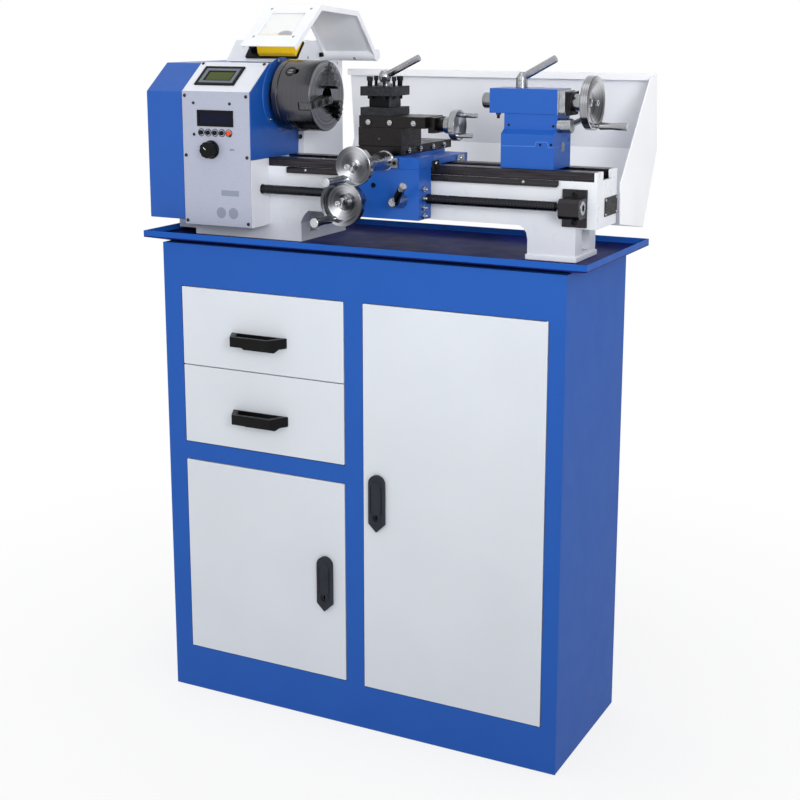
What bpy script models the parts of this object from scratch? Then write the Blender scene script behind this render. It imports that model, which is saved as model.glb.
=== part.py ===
"""Bench lathe on a steel stand: one named object for each piece.

Frame: X runs along the bed from headstock to tailstock, Y runs from front to
back, Z is up.  The origin is on the floor under the middle of the cabinet.
Lengths below are in millimetres and are turned into metres by MM.
"""
import math

import bmesh
import bpy
from mathutils import Matrix, Vector

MM = 0.001
GAP = 0.3            # clearance kept between pieces that touch

# cabinet
CAB_W = 780.0        # width
CAB_D = 299.0        # depth
CAB_H = 863.2        # height under the chip tray
SHEET = 2.0          # sheet thickness of the stand
COL_L = (-352.1, -13.5)      # left opening, drawers and small door
COL_R = (22.1, 362.2)        # right opening, tall door
DRAWERS = (491.5, 786.1)     # height of the drawer opening
DRAWER_SPLIT = 639.4
SMALL_DOOR = (84.1, 458.9)
TALL_DOOR = (81.5, 786.6)
DOOR_GAP = 1.5
PIN_R = 1.2          # radius of the hinge pins
PIN_IN = 1.7         # from the edge of a door to its hinge axis

# chip tray
TRAY_W = 852.8
TRAY_Y = (-158.0, 161.0)
TRAY_FLOOR = 866.0
TRAY_RIM = 883.0

# lathe
AXIS_Z = 1125.0      # height of the spindle axis, which is at y = 0
BED_HALF = 50.0      # half of the width over the ways
WAY_TOP = 1016.0
WAY_LOW = 1001.0
BED_X = (-366.0, 401.5)
BED_LOW = 923.0
HEAD_X = (-366.5, -222.5)
HEAD_Y = (-108.5, 55.0)
HEAD_TOP = 1181.5
SLANT = ((-108.5, 1132.0), (-43.0, 1181.5))
COVER_X = (-446.0, -367.0)
COVER_BACK = 165.0
CHUCK_R = 63.0
CHUCK_X = (-208.7, -128.5)
JAW_ANGLES = (195.0, 75.0, 315.0)
SCREW_Y = -72.0      # leadscrew axis
SCREW_Z = 960.5
CARR_X = (-45.0, 108.0)
CARR_Y = (-107.0, 90.0)
APRON_Z = (927.0, 1012.7)
SADDLE_TOP = 1032.5
WHEEL_X = -4.0       # carriage handwheel axis
WHEEL_Z = 958.0
FEED_X = 45.0        # cross feed screw axis
FEED_Z = 1026.0
SLIDE_X = (-18.5, 64.5)
SLIDE_Y = (-85.0, 115.0)
POST = (15.0, -50.0)         # centre of the four-way tool post
TAIL_X = (228.0, 322.5)
TAIL_Y = (-42.0, 36.0)
CLAMP_Y = -21.0        # clamp shaft in the tailstock's neck
GUARD_X = (-203.5, -95.0)
PIVOT = (130.0, 1195.0)      # guard pivot, y and z
MOTOR = (130.0, 1060.0)      # motor axis, y and z

for old in list(bpy.data.objects):
    bpy.data.objects.remove(old)

model = bpy.data.collections.new("bench_lathe")
tools = bpy.data.collections.new("cutters")
bpy.context.scene.collection.children.link(model)
bpy.context.scene.collection.children.link(tools)


# ---------------------------------------------------------------- materials
def material(name, rgb, rough, metal=0.0):
    mat = bpy.data.materials.new(name)
    mat.use_nodes = True
    shader = mat.node_tree.nodes["Principled BSDF"]
    shader.inputs["Base Color"].default_value = (rgb[0], rgb[1], rgb[2], 1.0)
    shader.inputs["Roughness"].default_value = rough
    shader.inputs["Metallic"].default_value = metal
    mat.diffuse_color = (rgb[0], rgb[1], rgb[2], 1.0)
    return mat


BLUE = material("blue_paint", (0.02, 0.10, 0.42), 0.4)
WHITE = material("white_paint", (0.78, 0.80, 0.83), 0.45)
GREY = material("light_grey_powder", (0.55, 0.58, 0.62), 0.5)
STEEL = material("ground_steel", (0.35, 0.35, 0.36), 0.3, 1.0)
BRIGHT = material("polished_steel", (0.62, 0.63, 0.65), 0.2, 1.0)
IRON = material("dark_iron", (0.09, 0.09, 0.10), 0.45, 0.6)
BLACK = material("black_plastic", (0.015, 0.015, 0.017), 0.45)
DARK = material("blackened_steel", (0.03, 0.03, 0.033), 0.35, 0.8)
SILVER = material("silver_panel", (0.40, 0.43, 0.48), 0.4, 0.3)
LATCH = material("latch_grey", (0.07, 0.075, 0.09), 0.45)
YELLOW = material("yellow_plastic", (0.85, 0.52, 0.01), 0.4)
ORANGE = material("orange_plastic", (0.80, 0.08, 0.01), 0.4)
CLEAR = material("clear_sheet", (0.70, 0.71, 0.70), 0.15)
RUBBER = material("belt_rubber", (0.02, 0.02, 0.02), 0.8)


# ------------------------------------------------------------------ helpers
def paint(obj, mat):
    obj.data.materials.clear()
    obj.data.materials.append(mat)
    return obj


def keep(obj, mat):
    """Puts a finished piece in the model's collection with its material."""
    for coll in list(obj.users_collection):
        coll.objects.unlink(obj)
    model.objects.link(obj)
    return paint(obj, mat)


def tool(obj):
    """Hides a shape that only cuts or joins another."""
    for coll in list(obj.users_collection):
        coll.objects.unlink(obj)
    tools.objects.link(obj)
    obj.hide_render = True
    obj.display_type = "WIRE"
    return obj


def box(name, x, y, z):
    bpy.ops.mesh.primitive_cube_add(size=1.0)
    obj = bpy.context.object
    obj.name = name
    size = Vector((x[1] - x[0], y[1] - y[0], z[1] - z[0])) * MM
    mid = Vector((x[0] + x[1], y[0] + y[1], z[0] + z[1])) * (MM / 2)
    obj.data.transform(Matrix.Diagonal((*size, 1.0)))
    obj.location = mid
    return obj


TURNS = {"Z": (0.0, 0.0, 0.0), "X": (0.0, math.pi / 2, 0.0),
         "-X": (0.0, -math.pi / 2, 0.0), "-Y": (math.pi / 2, 0.0, 0.0),
         "Y": (-math.pi / 2, 0.0, 0.0)}


def rod(name, start, axis, radius, length, sides=24):
    """A cylinder from a start point along an axis."""
    bpy.ops.mesh.primitive_cylinder_add(vertices=sides, radius=radius * MM, depth=length * MM)
    obj = bpy.context.object
    obj.name = name
    obj.data.transform(Matrix.Translation((0.0, 0.0, length * MM / 2)))
    obj.location = Vector(start) * MM
    obj.rotation_euler = TURNS[axis]
    return smooth(obj)


def smooth(obj, degrees=32.0):
    obj.data.shade_smooth()
    obj.data.set_sharp_from_angle(angle=math.radians(degrees))
    return obj


def turned(name, profile, start, axis, steps=36, closed=False):
    """A turned piece: (radius, height) points, outer side from top to bottom."""
    mesh = bpy.data.meshes.new(name)
    points = [(r * MM, 0.0, h * MM) for r, h in profile]
    edges = [(i, i + 1) for i in range(len(points) - 1)]
    if closed:
        edges.append((len(points) - 1, 0))
    mesh.from_pydata(points, edges, [])
    obj = bpy.data.objects.new(name, mesh)
    bpy.context.scene.collection.objects.link(obj)
    screw = obj.modifiers.new("turn", "SCREW")
    screw.steps = steps
    screw.render_steps = steps
    screw.use_merge_vertices = True
    screw.merge_threshold = 0.00001
    screw.use_smooth_shade = True
    obj.location = Vector(start) * MM
    obj.rotation_euler = TURNS[axis]
    return obj


PLANES = {"XY": ((1, 0, 0), (0, 1, 0), (0, 0, 1)),
          "YZ": ((0, 1, 0), (0, 0, 1), (1, 0, 0)),
          "XZ": ((1, 0, 0), (0, 0, 1), (0, -1, 0))}


def plate(name, outlines, plane, low, high):
    """Flat outlines in a plane, made solid from low to high across it."""
    curve = bpy.data.curves.new(name, "CURVE")
    curve.dimensions = "2D"
    curve.fill_mode = "BOTH"
    curve.extrude = (high - low) * MM / 2
    for outline in outlines:
        spline = curve.splines.new("POLY")
        spline.points.add(len(outline) - 1)
        for point, (a, b) in zip(spline.points, outline):
            point.co = (a * MM, b * MM, 0.0, 1.0)
        spline.use_cyclic_u = True
    obj = bpy.data.objects.new(name, curve)
    bpy.context.scene.collection.objects.link(obj)
    u, v, w = (Vector(axis) for axis in PLANES[plane])
    turn = Matrix((u, v, w)).transposed().to_4x4()
    shift = Vector((w.x, w.y, w.z)) * ((low + high) * MM / 2)
    if plane == "XZ":
        shift = Vector((0.0, (low + high) * MM / 2, 0.0))
    obj.matrix_world = Matrix.Translation(shift) @ turn
    return as_mesh(obj)


def as_mesh(obj, merge=0.000001):
    """Replaces a curve by its evaluated mesh with the caps welded on."""
    bpy.context.view_layer.update()
    graph = bpy.context.evaluated_depsgraph_get()
    mesh = bpy.data.meshes.new_from_object(obj.evaluated_get(graph))
    work = bmesh.new()
    work.from_mesh(mesh)
    bmesh.ops.remove_doubles(work, verts=work.verts, dist=merge)
    bmesh.ops.recalc_face_normals(work, faces=work.faces)
    work.to_mesh(mesh)
    work.free()
    name = obj.name
    made = bpy.data.objects.new(name, mesh)
    made.matrix_world = obj.matrix_world.copy()
    bpy.data.objects.remove(obj)
    made.name = name
    bpy.context.scene.collection.objects.link(made)
    return made


def bar(name, points, radius, rings=2):
    """A round bar along straight runs between points, with flat ends."""
    curve = bpy.data.curves.new(name, "CURVE")
    curve.dimensions = "3D"
    curve.bevel_depth = radius * MM
    curve.bevel_resolution = rings
    curve.use_fill_caps = True
    spline = curve.splines.new("POLY")
    spline.points.add(len(points) - 1)
    for point, co in zip(spline.points, points):
        point.co = (co[0] * MM, co[1] * MM, co[2] * MM, 1.0)
    obj = bpy.data.objects.new(name, curve)
    bpy.context.scene.collection.objects.link(obj)
    return smooth(as_mesh(obj))


def cut(obj, *cutters):
    for shape in cutters:
        mod = obj.modifiers.new("cut_" + shape.name, "BOOLEAN")
        mod.operation = "DIFFERENCE"
        mod.solver = "EXACT"
        mod.object = tool(shape)
    return obj


def join(obj, *shapes):
    for shape in shapes:
        mod = obj.modifiers.new("join_" + shape.name, "BOOLEAN")
        mod.operation = "UNION"
        mod.solver = "EXACT"
        mod.object = tool(shape)
    return obj


def ring_outline(points, thick):
    """The closed outline of a bent sheet that lies on the right of a path."""
    inner = []
    for i, point in enumerate(points):
        here = Vector(point)
        dirs = []
        if i > 0:
            dirs.append((here - Vector(points[i - 1])).normalized())
        if i < len(points) - 1:
            dirs.append((Vector(points[i + 1]) - here).normalized())
        normals = [Vector((d.y, -d.x)) for d in dirs]
        mean = sum(normals, Vector((0.0, 0.0))).normalized()
        reach = thick / max(0.2, mean.dot(normals[0]))
        inner.append(tuple(here + mean * reach))
    return list(points) + inner[::-1]


def arc(cx, cy, radius, start, end, steps):
    """Points on an arc, angles in degrees."""
    out = []
    for i in range(steps + 1):
        a = math.radians(start + (end - start) * i / steps)
        out.append((cx + radius * math.cos(a), cy + radius * math.sin(a)))
    return out


def origin_at(obj, point):
    """Moves an object's origin to a joint axis and leaves its shape in place."""
    bpy.context.view_layer.update()
    place = Vector(point) * MM
    obj.data.transform(Matrix.Translation(-place) @ obj.matrix_world)
    obj.matrix_world = Matrix.Translation(place)
    return obj


# ------------------------------------------------------------------ cabinet
HW = CAB_W / 2
HD = CAB_D / 2
FRAME_BACK = -HD + 3.0

RUNNERS = (498.0, 655.0)     # height of the runner tops under the two drawers
BOX_X = (-340.0, -24.0)      # width of a drawer's box


def runner(name, x, guide, top):
    """An angle that a drawer slides on, with an upright beside the box."""
    rail = box(name, x, (-133.0, 140.0), (top - 2, top))
    return rail, box(name + "_guide", guide, (-133.0, 140.0), (top - 1, top + 14))


shell = box("cabinet_shell", (-HW, HW), (FRAME_BACK + GAP, HD), (0.0, CAB_H))
cut(shell,
    box("room_above_shelf", (-HW + SHEET, HW - SHEET), (-HD - 20, HD - SHEET), (78.0, CAB_H - SHEET)),
    box("plinth_room", (-HW + SHEET, HW - SHEET), (-HD - 20, HD - SHEET), (SHEET, 76.0)))
for level, top in enumerate(RUNNERS):
    join(shell, *runner("runner_left_%d" % level, (-HW + 1.0, -334.0), (-344.0, -342.0), top))
keep(shell, BLUE)

frame = box("cabinet_front_frame", (-HW, HW), (-HD, FRAME_BACK), (0.0, CAB_H))
cut(frame,
    box("drawer_hole", COL_L, (-HD - 10, -HD + 10), DRAWERS),
    box("small_door_hole", COL_L, (-HD - 10, -HD + 10), SMALL_DOOR),
    box("tall_door_hole", COL_R, (-HD - 10, -HD + 10), TALL_DOOR))
keep(frame, BLUE)

IN_Y = (FRAME_BACK + GAP, HD - SHEET - GAP)
divider = box("cabinet_divider", (3.0, 5.0), IN_Y, (78.0 + GAP, CAB_H - SHEET - GAP))
join(divider, box("drawer_shelf", (-HW + SHEET + GAP, 4.0), IN_Y, (474.0, 476.0)))
for level, top in enumerate(RUNNERS):
    join(divider, *runner("runner_right_%d" % level, (-30.0, 4.0), (-22.0, -20.0), top))
keep(divider, BLUE)


def drawer(name, face_z, low, high):
    face = box(name, (COL_L[0] + DOOR_GAP, COL_L[1] - DOOR_GAP), (-HD - 1.0, -HD + 15.0), face_z)
    join(face, box(name + "_box", BOX_X, (-HD + 10.0, 128.0), (low, high)))
    cut(face, box(name + "_room", (BOX_X[0] + 2, BOX_X[1] - 2), (-HD + 17.0, 126.0), (low + 2, high + 30)))
    return keep(face, GREY)


upper = drawer("upper_drawer", (DRAWER_SPLIT + 0.9, DRAWERS[1] - DOOR_GAP), RUNNERS[1] + GAP, 768.0)
lower = drawer("lower_drawer", (DRAWERS[0] + DOOR_GAP, DRAWER_SPLIT - 0.9), RUNNERS[0] + GAP, 622.0)


def pull(name, z):
    """A bow handle: a flat bar on two splayed legs, with a finger plate under it."""
    x0, y0 = -186.5, -HD - 1.0 - GAP
    path = [(x0 - 58, y0), (x0 - 40, y0 - 34), (x0 + 40, y0 - 34), (x0 + 58, y0)]
    back = [(x0 + 46, y0), (x0 + 33, y0 - 26), (x0 - 33, y0 - 26), (x0 - 46, y0)]
    bow = plate(name, [path + back], "XY", z - 9.0, z + 9.0)
    rest = plate(name + "_rest", [[(x0 - 50, z + 9), (x0 + 50, z + 9), (x0 + 50, z - 6), (x0 + 32, z - 20),
                                   (x0 - 32, z - 20), (x0 - 50, z - 6)]], "XZ", y0 - 4.0, y0)
    return keep(join(bow, rest), BLACK)


pull("upper_drawer_pull", 700.0)
pull("lower_drawer_pull", 557.0)


def door(name, x, z, lock_x, lock_z, hinge_x):
    """A folded sheet door on two short pins that stand in line with its hinged edge."""
    leaf = box(name, (x[0] + DOOR_GAP, x[1] - DOOR_GAP), (-HD - 1.0, -HD + 17.0),
               (z[0] + DOOR_GAP, z[1] - DOOR_GAP))
    cut(leaf,
        box(name + "_pan", (x[0] + DOOR_GAP + 2, x[1] - DOOR_GAP - 2), (-HD + 1.0, -HD + 30.0),
            (z[0] + DOOR_GAP + 2, z[1] - DOOR_GAP - 2)),
        rod(name + "_lock_hole", (lock_x, -HD - 20, lock_z), "Y", 7.6, 60, 20))
    join(leaf,
         rod(name + "_pin_low", (hinge_x, -HD + 1.3, z[0] + GAP), "Z", PIN_R, 3.0, 12),
         rod(name + "_pin_top", (hinge_x, -HD + 1.3, z[1] - GAP - 3.0), "Z", PIN_R, 3.0, 12))
    origin_at(leaf, (hinge_x, -HD + 1.3, (z[0] + z[1]) / 2))
    return keep(leaf, GREY)


LOCK_L = (-54.5, 240.0)
LOCK_R = (51.5, 408.0)
door("door_left", COL_L, SMALL_DOOR, LOCK_L[0], LOCK_L[1], COL_L[0] + DOOR_GAP + PIN_IN)
door("door_right", COL_R, TALL_DOOR, LOCK_R[0], LOCK_R[1], COL_R[1] - DOOR_GAP - PIN_IN)


def latch(side, spot, arm):
    """An oval plate with a flush paddle, and a key barrel with its cam."""
    x, z = spot
    front = -HD - 1.0 - GAP
    outline = arc(x, z + 61.5, 15.5, 0.0, 180.0, 10) + [(x - 15.5, z - 12), (x, z - 27), (x + 15.5, z - 12)]
    body = plate("latch_plate_" + side, [outline], "XZ", front - 7.0, front)
    cut(body, rod("latch_bore_" + side, (x, front - 20, z), "Y", 6.3, 40, 20))
    paddle = [(x - 10, z + 9), (x + 10, z + 9)] + arc(x, z + 52, 10.0, 0.0, 180.0, 8)
    ring = [(x - 11, z + 8), (x + 11, z + 8)] + arc(x, z + 52, 11.0, 0.0, 180.0, 8)
    cut(body, plate("latch_groove_" + side, [ring, paddle], "XZ", front - 9.0, front - 5.0))
    keep(body, LATCH)
    barrel = rod("latch_cam_" + side, (x, front - 6.0, z), "Y", 6.0, 34.0, 20)
    join(barrel, plate("cam_arm_" + side, [[(x - 8, z + 8), (x - 8, z - arm), (x + 8, z - arm), (x + 8, z + 8)]],
                       "XZ", -HD + 18.0, -HD + 21.0))
    cut(barrel, box("key_slot_" + side, (x - 1.2, x + 1.2), (front - 9.0, front + 6.0), (z - 3.5, z + 3.5)))
    return keep(barrel, STEEL)


latch("left", LOCK_L, COL_L[1] - LOCK_L[0] + 8.0)
latch("right", LOCK_R, LOCK_R[0] - COL_R[0] + 8.0)

# ---------------------------------------------------------------- chip tray


def tray_loop(work, half, y, z):
    return [work.verts.new((sx * half * MM, yy * MM, z * MM))
            for sx, yy in ((-1, y[0]), (1, y[0]), (1, y[1]), (-1, y[1]))]


def tray_shell():
    """A pan: flat floor, flared sides and an upright rim, all one sheet."""
    half = TRAY_W / 2
    levels = [(389.0, (-128.0, 128.0), CAB_H + GAP), (half, TRAY_Y, 871.0), (half, TRAY_Y, TRAY_RIM),
              (half - 2, (TRAY_Y[0] + 2, TRAY_Y[1] - 2), TRAY_RIM),
              (half - 2, (TRAY_Y[0] + 2, TRAY_Y[1] - 2), 873.3),
              (388.0, (-127.0, 127.0), TRAY_FLOOR)]
    mesh = bpy.data.meshes.new("chip_tray")
    work = bmesh.new()
    loops = [tray_loop(work, *level) for level in levels]
    work.faces.new(loops[0][::-1])
    for a, b in zip(loops, loops[1:]):
        for i in range(4):
            j = (i + 1) % 4
            work.faces.new((a[i], a[j], b[j], b[i]))
    work.faces.new(loops[-1])
    bmesh.ops.recalc_face_normals(work, faces=work.faces)
    work.to_mesh(mesh)
    work.free()
    obj = bpy.data.objects.new("chip_tray", mesh)
    bpy.context.scene.collection.objects.link(obj)
    return keep(obj, BLUE)


tray_shell()

# ---------------------------------------------------------------------- bed
bed = box("bed_casting", BED_X, (-BED_HALF, BED_HALF), (BED_LOW, WAY_LOW))
join(bed, box("left_pad", (-386.0, -156.0), (-BED_HALF, 114.0), (TRAY_FLOOR + GAP, 878.0)),
     box("left_foot", (-423.5, -156.0), (-BED_HALF, 114.0), (877.0, 899.0)),
     plate("left_web", [[(-366.0, 898.0), (-158.0, 898.0), (-154.0, 908.0), (-148.0, 917.0), (-140.0, BED_LOW + 1),
                         (-366.0, BED_LOW + 1)]], "XZ", -BED_HALF + 0.2, BED_HALF - 0.2))
foot = [(282.0, TRAY_FLOOR + GAP), (366.5, TRAY_FLOOR + GAP), (366.5, BED_LOW + 1), (266.0, BED_LOW + 1)]
foot += [(274.0, 919.0), (280.0, 911.0), (282.0, 900.0)]
join(bed, plate("right_foot", [foot], "XZ", -BED_HALF, BED_HALF - 1))
WAY = [(0.0, WAY_LOW - 1), (0.0, WAY_TOP - 1), (1.0, WAY_TOP), (28.0, WAY_TOP), (30.0, WAY_TOP - 2),
       (30.0, WAY_LOW + 3), (27.0, WAY_LOW - 1)]
WAY_X = (HEAD_X[1] + GAP, BED_X[1])
join(bed, plate("front_way", [[(y - BED_HALF, z) for y, z in WAY]], "YZ", WAY_X[0], WAY_X[1]),
     plate("rear_way", [[(BED_HALF - y, z) for y, z in WAY]], "YZ", WAY_X[0], WAY_X[1]))
for start, end in ((-205.0, -35.0), (-10.0, 160.0), (185.0, 375.0)):
    cut(bed, box("bed_window_%d" % int(start), (start, end), (-19.0, 19.0), (880.0, 1030.0)))
cut(bed, box("bed_tunnel", (-370.0, -160.0), (-20.0, 20.0), (880.0, 915.0)))
keep(bed, WHITE)

RACK_X = (-181.0, 336.0)
TOOTH = 4.7


def rack_outline():
    """Rack with its teeth down: pitch of a 1.5 module gear."""
    points = [(RACK_X[1], 1000.5), (RACK_X[0], 1000.5)]
    count = int((RACK_X[1] - RACK_X[0]) / (4 * TOOTH))
    step = (RACK_X[1] - RACK_X[0]) / count
    for i in range(count):
        x = RACK_X[0] + i * step
        points += [(x, 990.0), (x + step * 0.46, 990.0), (x + step * 0.5, 992.5), (x + step * 0.96, 992.5)]
    return points + [(RACK_X[1], 990.0)]


keep(plate("feed_rack", [rack_outline()], "XZ", -58.0, -BED_HALF - GAP), STEEL)

lead = turned("leadscrew", [(0.0, 768.0), (5.0, 768.0), (5.0, 750.0), (8.0, 749.0), (8.0, 31.0), (6.5, 30.0),
                            (6.5, 22.0), (26.0, 22.0), (26.0, 12.0), (10.0, 12.0), (10.0, 0.0), (0.0, 0.0)],
              (-409.0, SCREW_Y, SCREW_Z), "X", 28)
keep(lead, STEEL)

bracket = box("leadscrew_bracket", (344.0, 386.0), (-BED_HALF - 5.0, -BED_HALF - GAP), (926.0, 988.0))
block = [(-90.0, 948.0), (-85.0, 942.5), (-52.0, 942.5), (-52.0, 975.0), (-85.0, 975.0), (-90.0, 969.5)]
join(bracket, plate("bracket_block", [block], "YZ", 349.5, 385.5))
cut(bracket, rod("bracket_bore", (340.0, SCREW_Y, SCREW_Z), "X", 5.4, 60.0, 24),
    rod("bracket_mouth", (340.0, SCREW_Y, SCREW_Z), "X", 8.6, 9.9, 24))
keep(bracket, IRON)

# ---------------------------------------------------------------- headstock
HX = HEAD_X
head = plate("headstock_casting",
             [[(HEAD_Y[0], 893.5), (HEAD_Y[0], 1014.0), (HEAD_Y[1], 1014.0), (HEAD_Y[1], WAY_LOW + GAP),
               (-BED_HALF - 0.6, WAY_LOW + GAP), (-BED_HALF - 0.6, 893.5)]], "YZ", HX[0], HX[1])
join(head, box("bearing_block", (-350.0, -236.0), (-46.0, 46.0), (1010.0, 1168.0)))
cut(head, box("control_room", (HX[0] + 3, HX[1] - 3), (-130.0, -54.0), (896.5, 1008.0)),
    rod("screw_passage", (HX[0] - 10, SCREW_Y, SCREW_Z), "X", 9.5, 180.0, 24),
    rod("bearing_bore", (HX[0] - 10, 0.0, AXIS_Z), "X", 31.0, 180.0, 36))
keep(head, WHITE)


def profile_yz(low, back, inset=0.0):
    """Outline of the headstock's end: upright front, slanted top corner."""
    (y0, z0), (y1, z1) = SLANT
    top = HEAD_TOP - inset
    return [(y0 + inset, low), (y0 + inset, z0 - 0.3 * inset), (y1 + 0.35 * inset, top), (back - inset, top),
            (back - inset, low)]


cover = plate("headstock_cover", [profile_yz(1014.0 + GAP, HEAD_Y[1])], "YZ", HX[0], HX[1])
room = [(y, z if z > 1100 else 1000.0) for y, z in profile_yz(1000.0, HEAD_Y[1], 3.0)]
cut(cover, plate("cover_room", [room], "YZ", HX[0] - 10, HX[1] - 3),
    box("panel_window", (HX[0] + 6, -245.0), (-120.0, -90.0), (1000.0, 1128.0)),
    rod("spindle_window", (HX[1] - 20, 0.0, AXIS_Z), "X", 43.0, 40.0, 36))
keep(cover, BLUE)

gear = plate("gear_cover", [profile_yz(901.0, COVER_BACK)], "YZ", COVER_X[0], COVER_X[1])
room = profile_yz(904.0, COVER_BACK, 3.0)
cut(gear, plate("gear_room", [room], "YZ", COVER_X[0] + 3, COVER_X[1] + 20))
keep(gear, BLUE)

PANEL = ((-110.8, 893.5), (-110.8, 1133.2), (-43.9, 1183.6))
panel = plate("control_panel", [ring_outline(list(PANEL), 2.0)], "YZ", HX[0] + 0.5, -239.5)
BUTTONS = [(-325.5 + 14.7 * i, 1061.0) for i in range(5)]
KNOB = (-304.5, 1031.0)
for i, (x, z) in enumerate(BUTTONS):
    cut(panel, rod("button_hole_%d" % (i + 1), (x, -130.0, z), "Y", 4.4, 40.0, 16))
cut(panel, rod("knob_hole", (KNOB[0], -130.0, KNOB[1]), "Y", 3.3, 40.0, 16))
keep(panel, SILVER)

for i, (x, z) in enumerate(BUTTONS):
    button = turned("panel_button_%d" % (i + 1),
                    [(0.0, 3.6), (3.2, 3.6), (4.0, 2.8), (4.0, -3.0), (5.4, -3.0), (5.4, -4.6), (0.0, -4.6)],
                    (x, -110.8, z), "-Y", 20)
    keep(button, ORANGE if i == 4 else BLACK)

knob = turned("speed_knob", [(0.0, 18.0), (9.0, 18.0), (10.5, 16.5), (12.0, 3.5), (14.0, 2.5), (14.5, 0.4),
                             (3.0, 0.4), (3.0, -9.0), (0.0, -9.0)], (KNOB[0], -110.8, KNOB[1]), "-Y", 28)
keep(knob, BLACK)

spindle = turned("spindle", [(10.2, 225.0), (40.0, 225.0), (40.0, 216.5), (30.7, 216.5), (30.7, 86.0),
                             (22.0, 86.0), (22.0, 60.5), (30.0, 60.5), (30.0, 45.5), (16.0, 45.5), (16.0, 4.0),
                             (12.5, 4.0), (12.5, 0.0), (10.2, 0.0)],
                 (CHUCK_X[0] - GAP - 225.0, 0.0, AXIS_Z), "X", 36, closed=True)
keep(spindle, STEEL)

# -------------------------------------------------------------------- chuck
chuck = turned("chuck_body",
               [(16.0, 80.2), (CHUCK_R - 1.5, 80.2), (CHUCK_R, 78.7), (CHUCK_R, 13.6), (CHUCK_R - 1.2, 13.0),
                (CHUCK_R - 1.2, 12.0), (CHUCK_R, 11.4), (CHUCK_R, 1.0), (CHUCK_R - 1.0, 0.0), (16.0, 0.0)],
               (CHUCK_X[0], 0.0, AXIS_Z), "X", 48, closed=True)
SLOT = (7.0, 24.0)           # half width and depth of a jaw slot


def radial(obj, angle):
    """Turns a shape built along +Y about the spindle axis."""
    turn = Matrix.Rotation(math.radians(angle), 4, "X")
    obj.data.transform(Matrix.Translation((0.0, 0.0, -AXIS_Z * MM)) @ obj.matrix_world)
    obj.matrix_world = Matrix.Identity(4)
    obj.data.transform(Matrix.Translation((0.0, 0.0, AXIS_Z * MM)) @ turn)
    return obj


for i, angle in enumerate(JAW_ANGLES):
    slot = box("jaw_slot_%d" % (i + 1), (CHUCK_X[1] - SLOT[1], CHUCK_X[1] + 5), (5.0, 70.0),
               (AXIS_Z - SLOT[0], AXIS_Z + SLOT[0]))
    bpy.context.view_layer.update()
    cut(chuck, radial(slot, angle))
    socket = rod("key_socket_%d" % (i + 1), (-166.0, 44.0, AXIS_Z), "Y", 6.0, 30.0, 16)
    bpy.context.view_layer.update()
    cut(chuck, radial(socket, angle + 60.0))
keep(chuck, STEEL)

JAW_BACK = CHUCK_X[1] - SLOT[1] + GAP
JAW = [(13.0, JAW_BACK), (61.0, JAW_BACK), (61.0, CHUCK_X[1] + 2), (53.0, CHUCK_X[1] + 2),
       (53.0, CHUCK_X[1] + 8), (41.0, CHUCK_X[1] + 8), (41.0, CHUCK_X[1] + 14.5), (27.0, CHUCK_X[1] + 14.5),
       (27.0, CHUCK_X[1] + 20.5), (13.0, CHUCK_X[1] + 20.5)]
for i, angle in enumerate(JAW_ANGLES):
    jaw = plate("chuck_jaw_%d" % (i + 1), [[(x, y) for y, x in JAW]], "XY",
                AXIS_Z - SLOT[0] + GAP, AXIS_Z + SLOT[0] - GAP)
    for sign in (-1, 1):
        far = 13.0 + 14.0 / math.tan(math.radians(60))
        edge = [(8.0, AXIS_Z + sign * 14.0), (far, AXIS_Z + sign * 14.0), (13.0, AXIS_Z), (8.0, AXIS_Z)]
        wedge = plate("jaw_tip_%d_%d" % (i + 1, sign + 1), [edge if sign > 0 else edge[::-1]], "YZ",
                      JAW_BACK - 5, CHUCK_X[1] + 30)
        bpy.context.view_layer.update()
        cut(jaw, radial(wedge, angle))
    bpy.context.view_layer.update()
    radial(jaw, angle)
    origin_at(jaw, (CHUCK_X[1], 0.0, AXIS_Z))
    keep(jaw, STEEL)

# ------------------------------------------------------------- motor, drive
motor = turned("motor", [(0.0, 118.0), (9.0, 118.0), (9.0, 114.0), (40.0, 114.0), (42.0, 112.0), (42.0, 9.0),
                         (30.0, 8.0), (30.0, 0.0), (0.0, 0.0)], (-345.0, MOTOR[0], MOTOR[1]), "X", 32)
join(motor, box("motor_plate", (-352.0, -344.0), (59.0, 202.0), (1000.0, 1120.0)))
cut(motor, rod("shaft_bore", (-360.0, MOTOR[0], MOTOR[1]), "X", 6.3, 30.0, 20))
keep(motor, IRON)
PULLEY_X = (-386.0, -374.0)
small = turned("motor_pulley", [(0.0, 59.0), (6.0, 59.0), (6.0, 19.0), (20.0, 19.0), (20.0, 17.5), (17.0, 17.5),
                                (17.0, 3.0), (20.0, 3.0), (20.0, 1.5), (0.0, 1.5)],
               (-390.5, MOTOR[0], MOTOR[1]), "X", 28)
keep(small, STEEL)


def belt_loop(radius_a, radius_b, steps=16):
    """Outline of a belt round the spindle pulley and the motor pulley."""
    ay, az, by, bz = 0.0, AXIS_Z, MOTOR[0], MOTOR[1]
    dist = math.hypot(by - ay, bz - az)
    heading = math.degrees(math.atan2(bz - az, by - ay))
    lean = math.degrees(math.acos((radius_a - radius_b) / dist))
    first = arc(ay, az, radius_a, heading + lean, heading + 360.0 - lean, steps)
    return first + arc(by, bz, radius_b, heading - lean, heading + lean, steps)


PULLEY_R = (30.0, 17.0)
belt = plate("drive_belt", [belt_loop(PULLEY_R[0] + 3.2, PULLEY_R[1] + 3.0),
                            belt_loop(PULLEY_R[0] + GAP + 0.2, PULLEY_R[1] + GAP + 0.2)], "YZ",
             PULLEY_X[0] - 0.7, PULLEY_X[1] - 0.7)
keep(belt, RUBBER)

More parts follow.
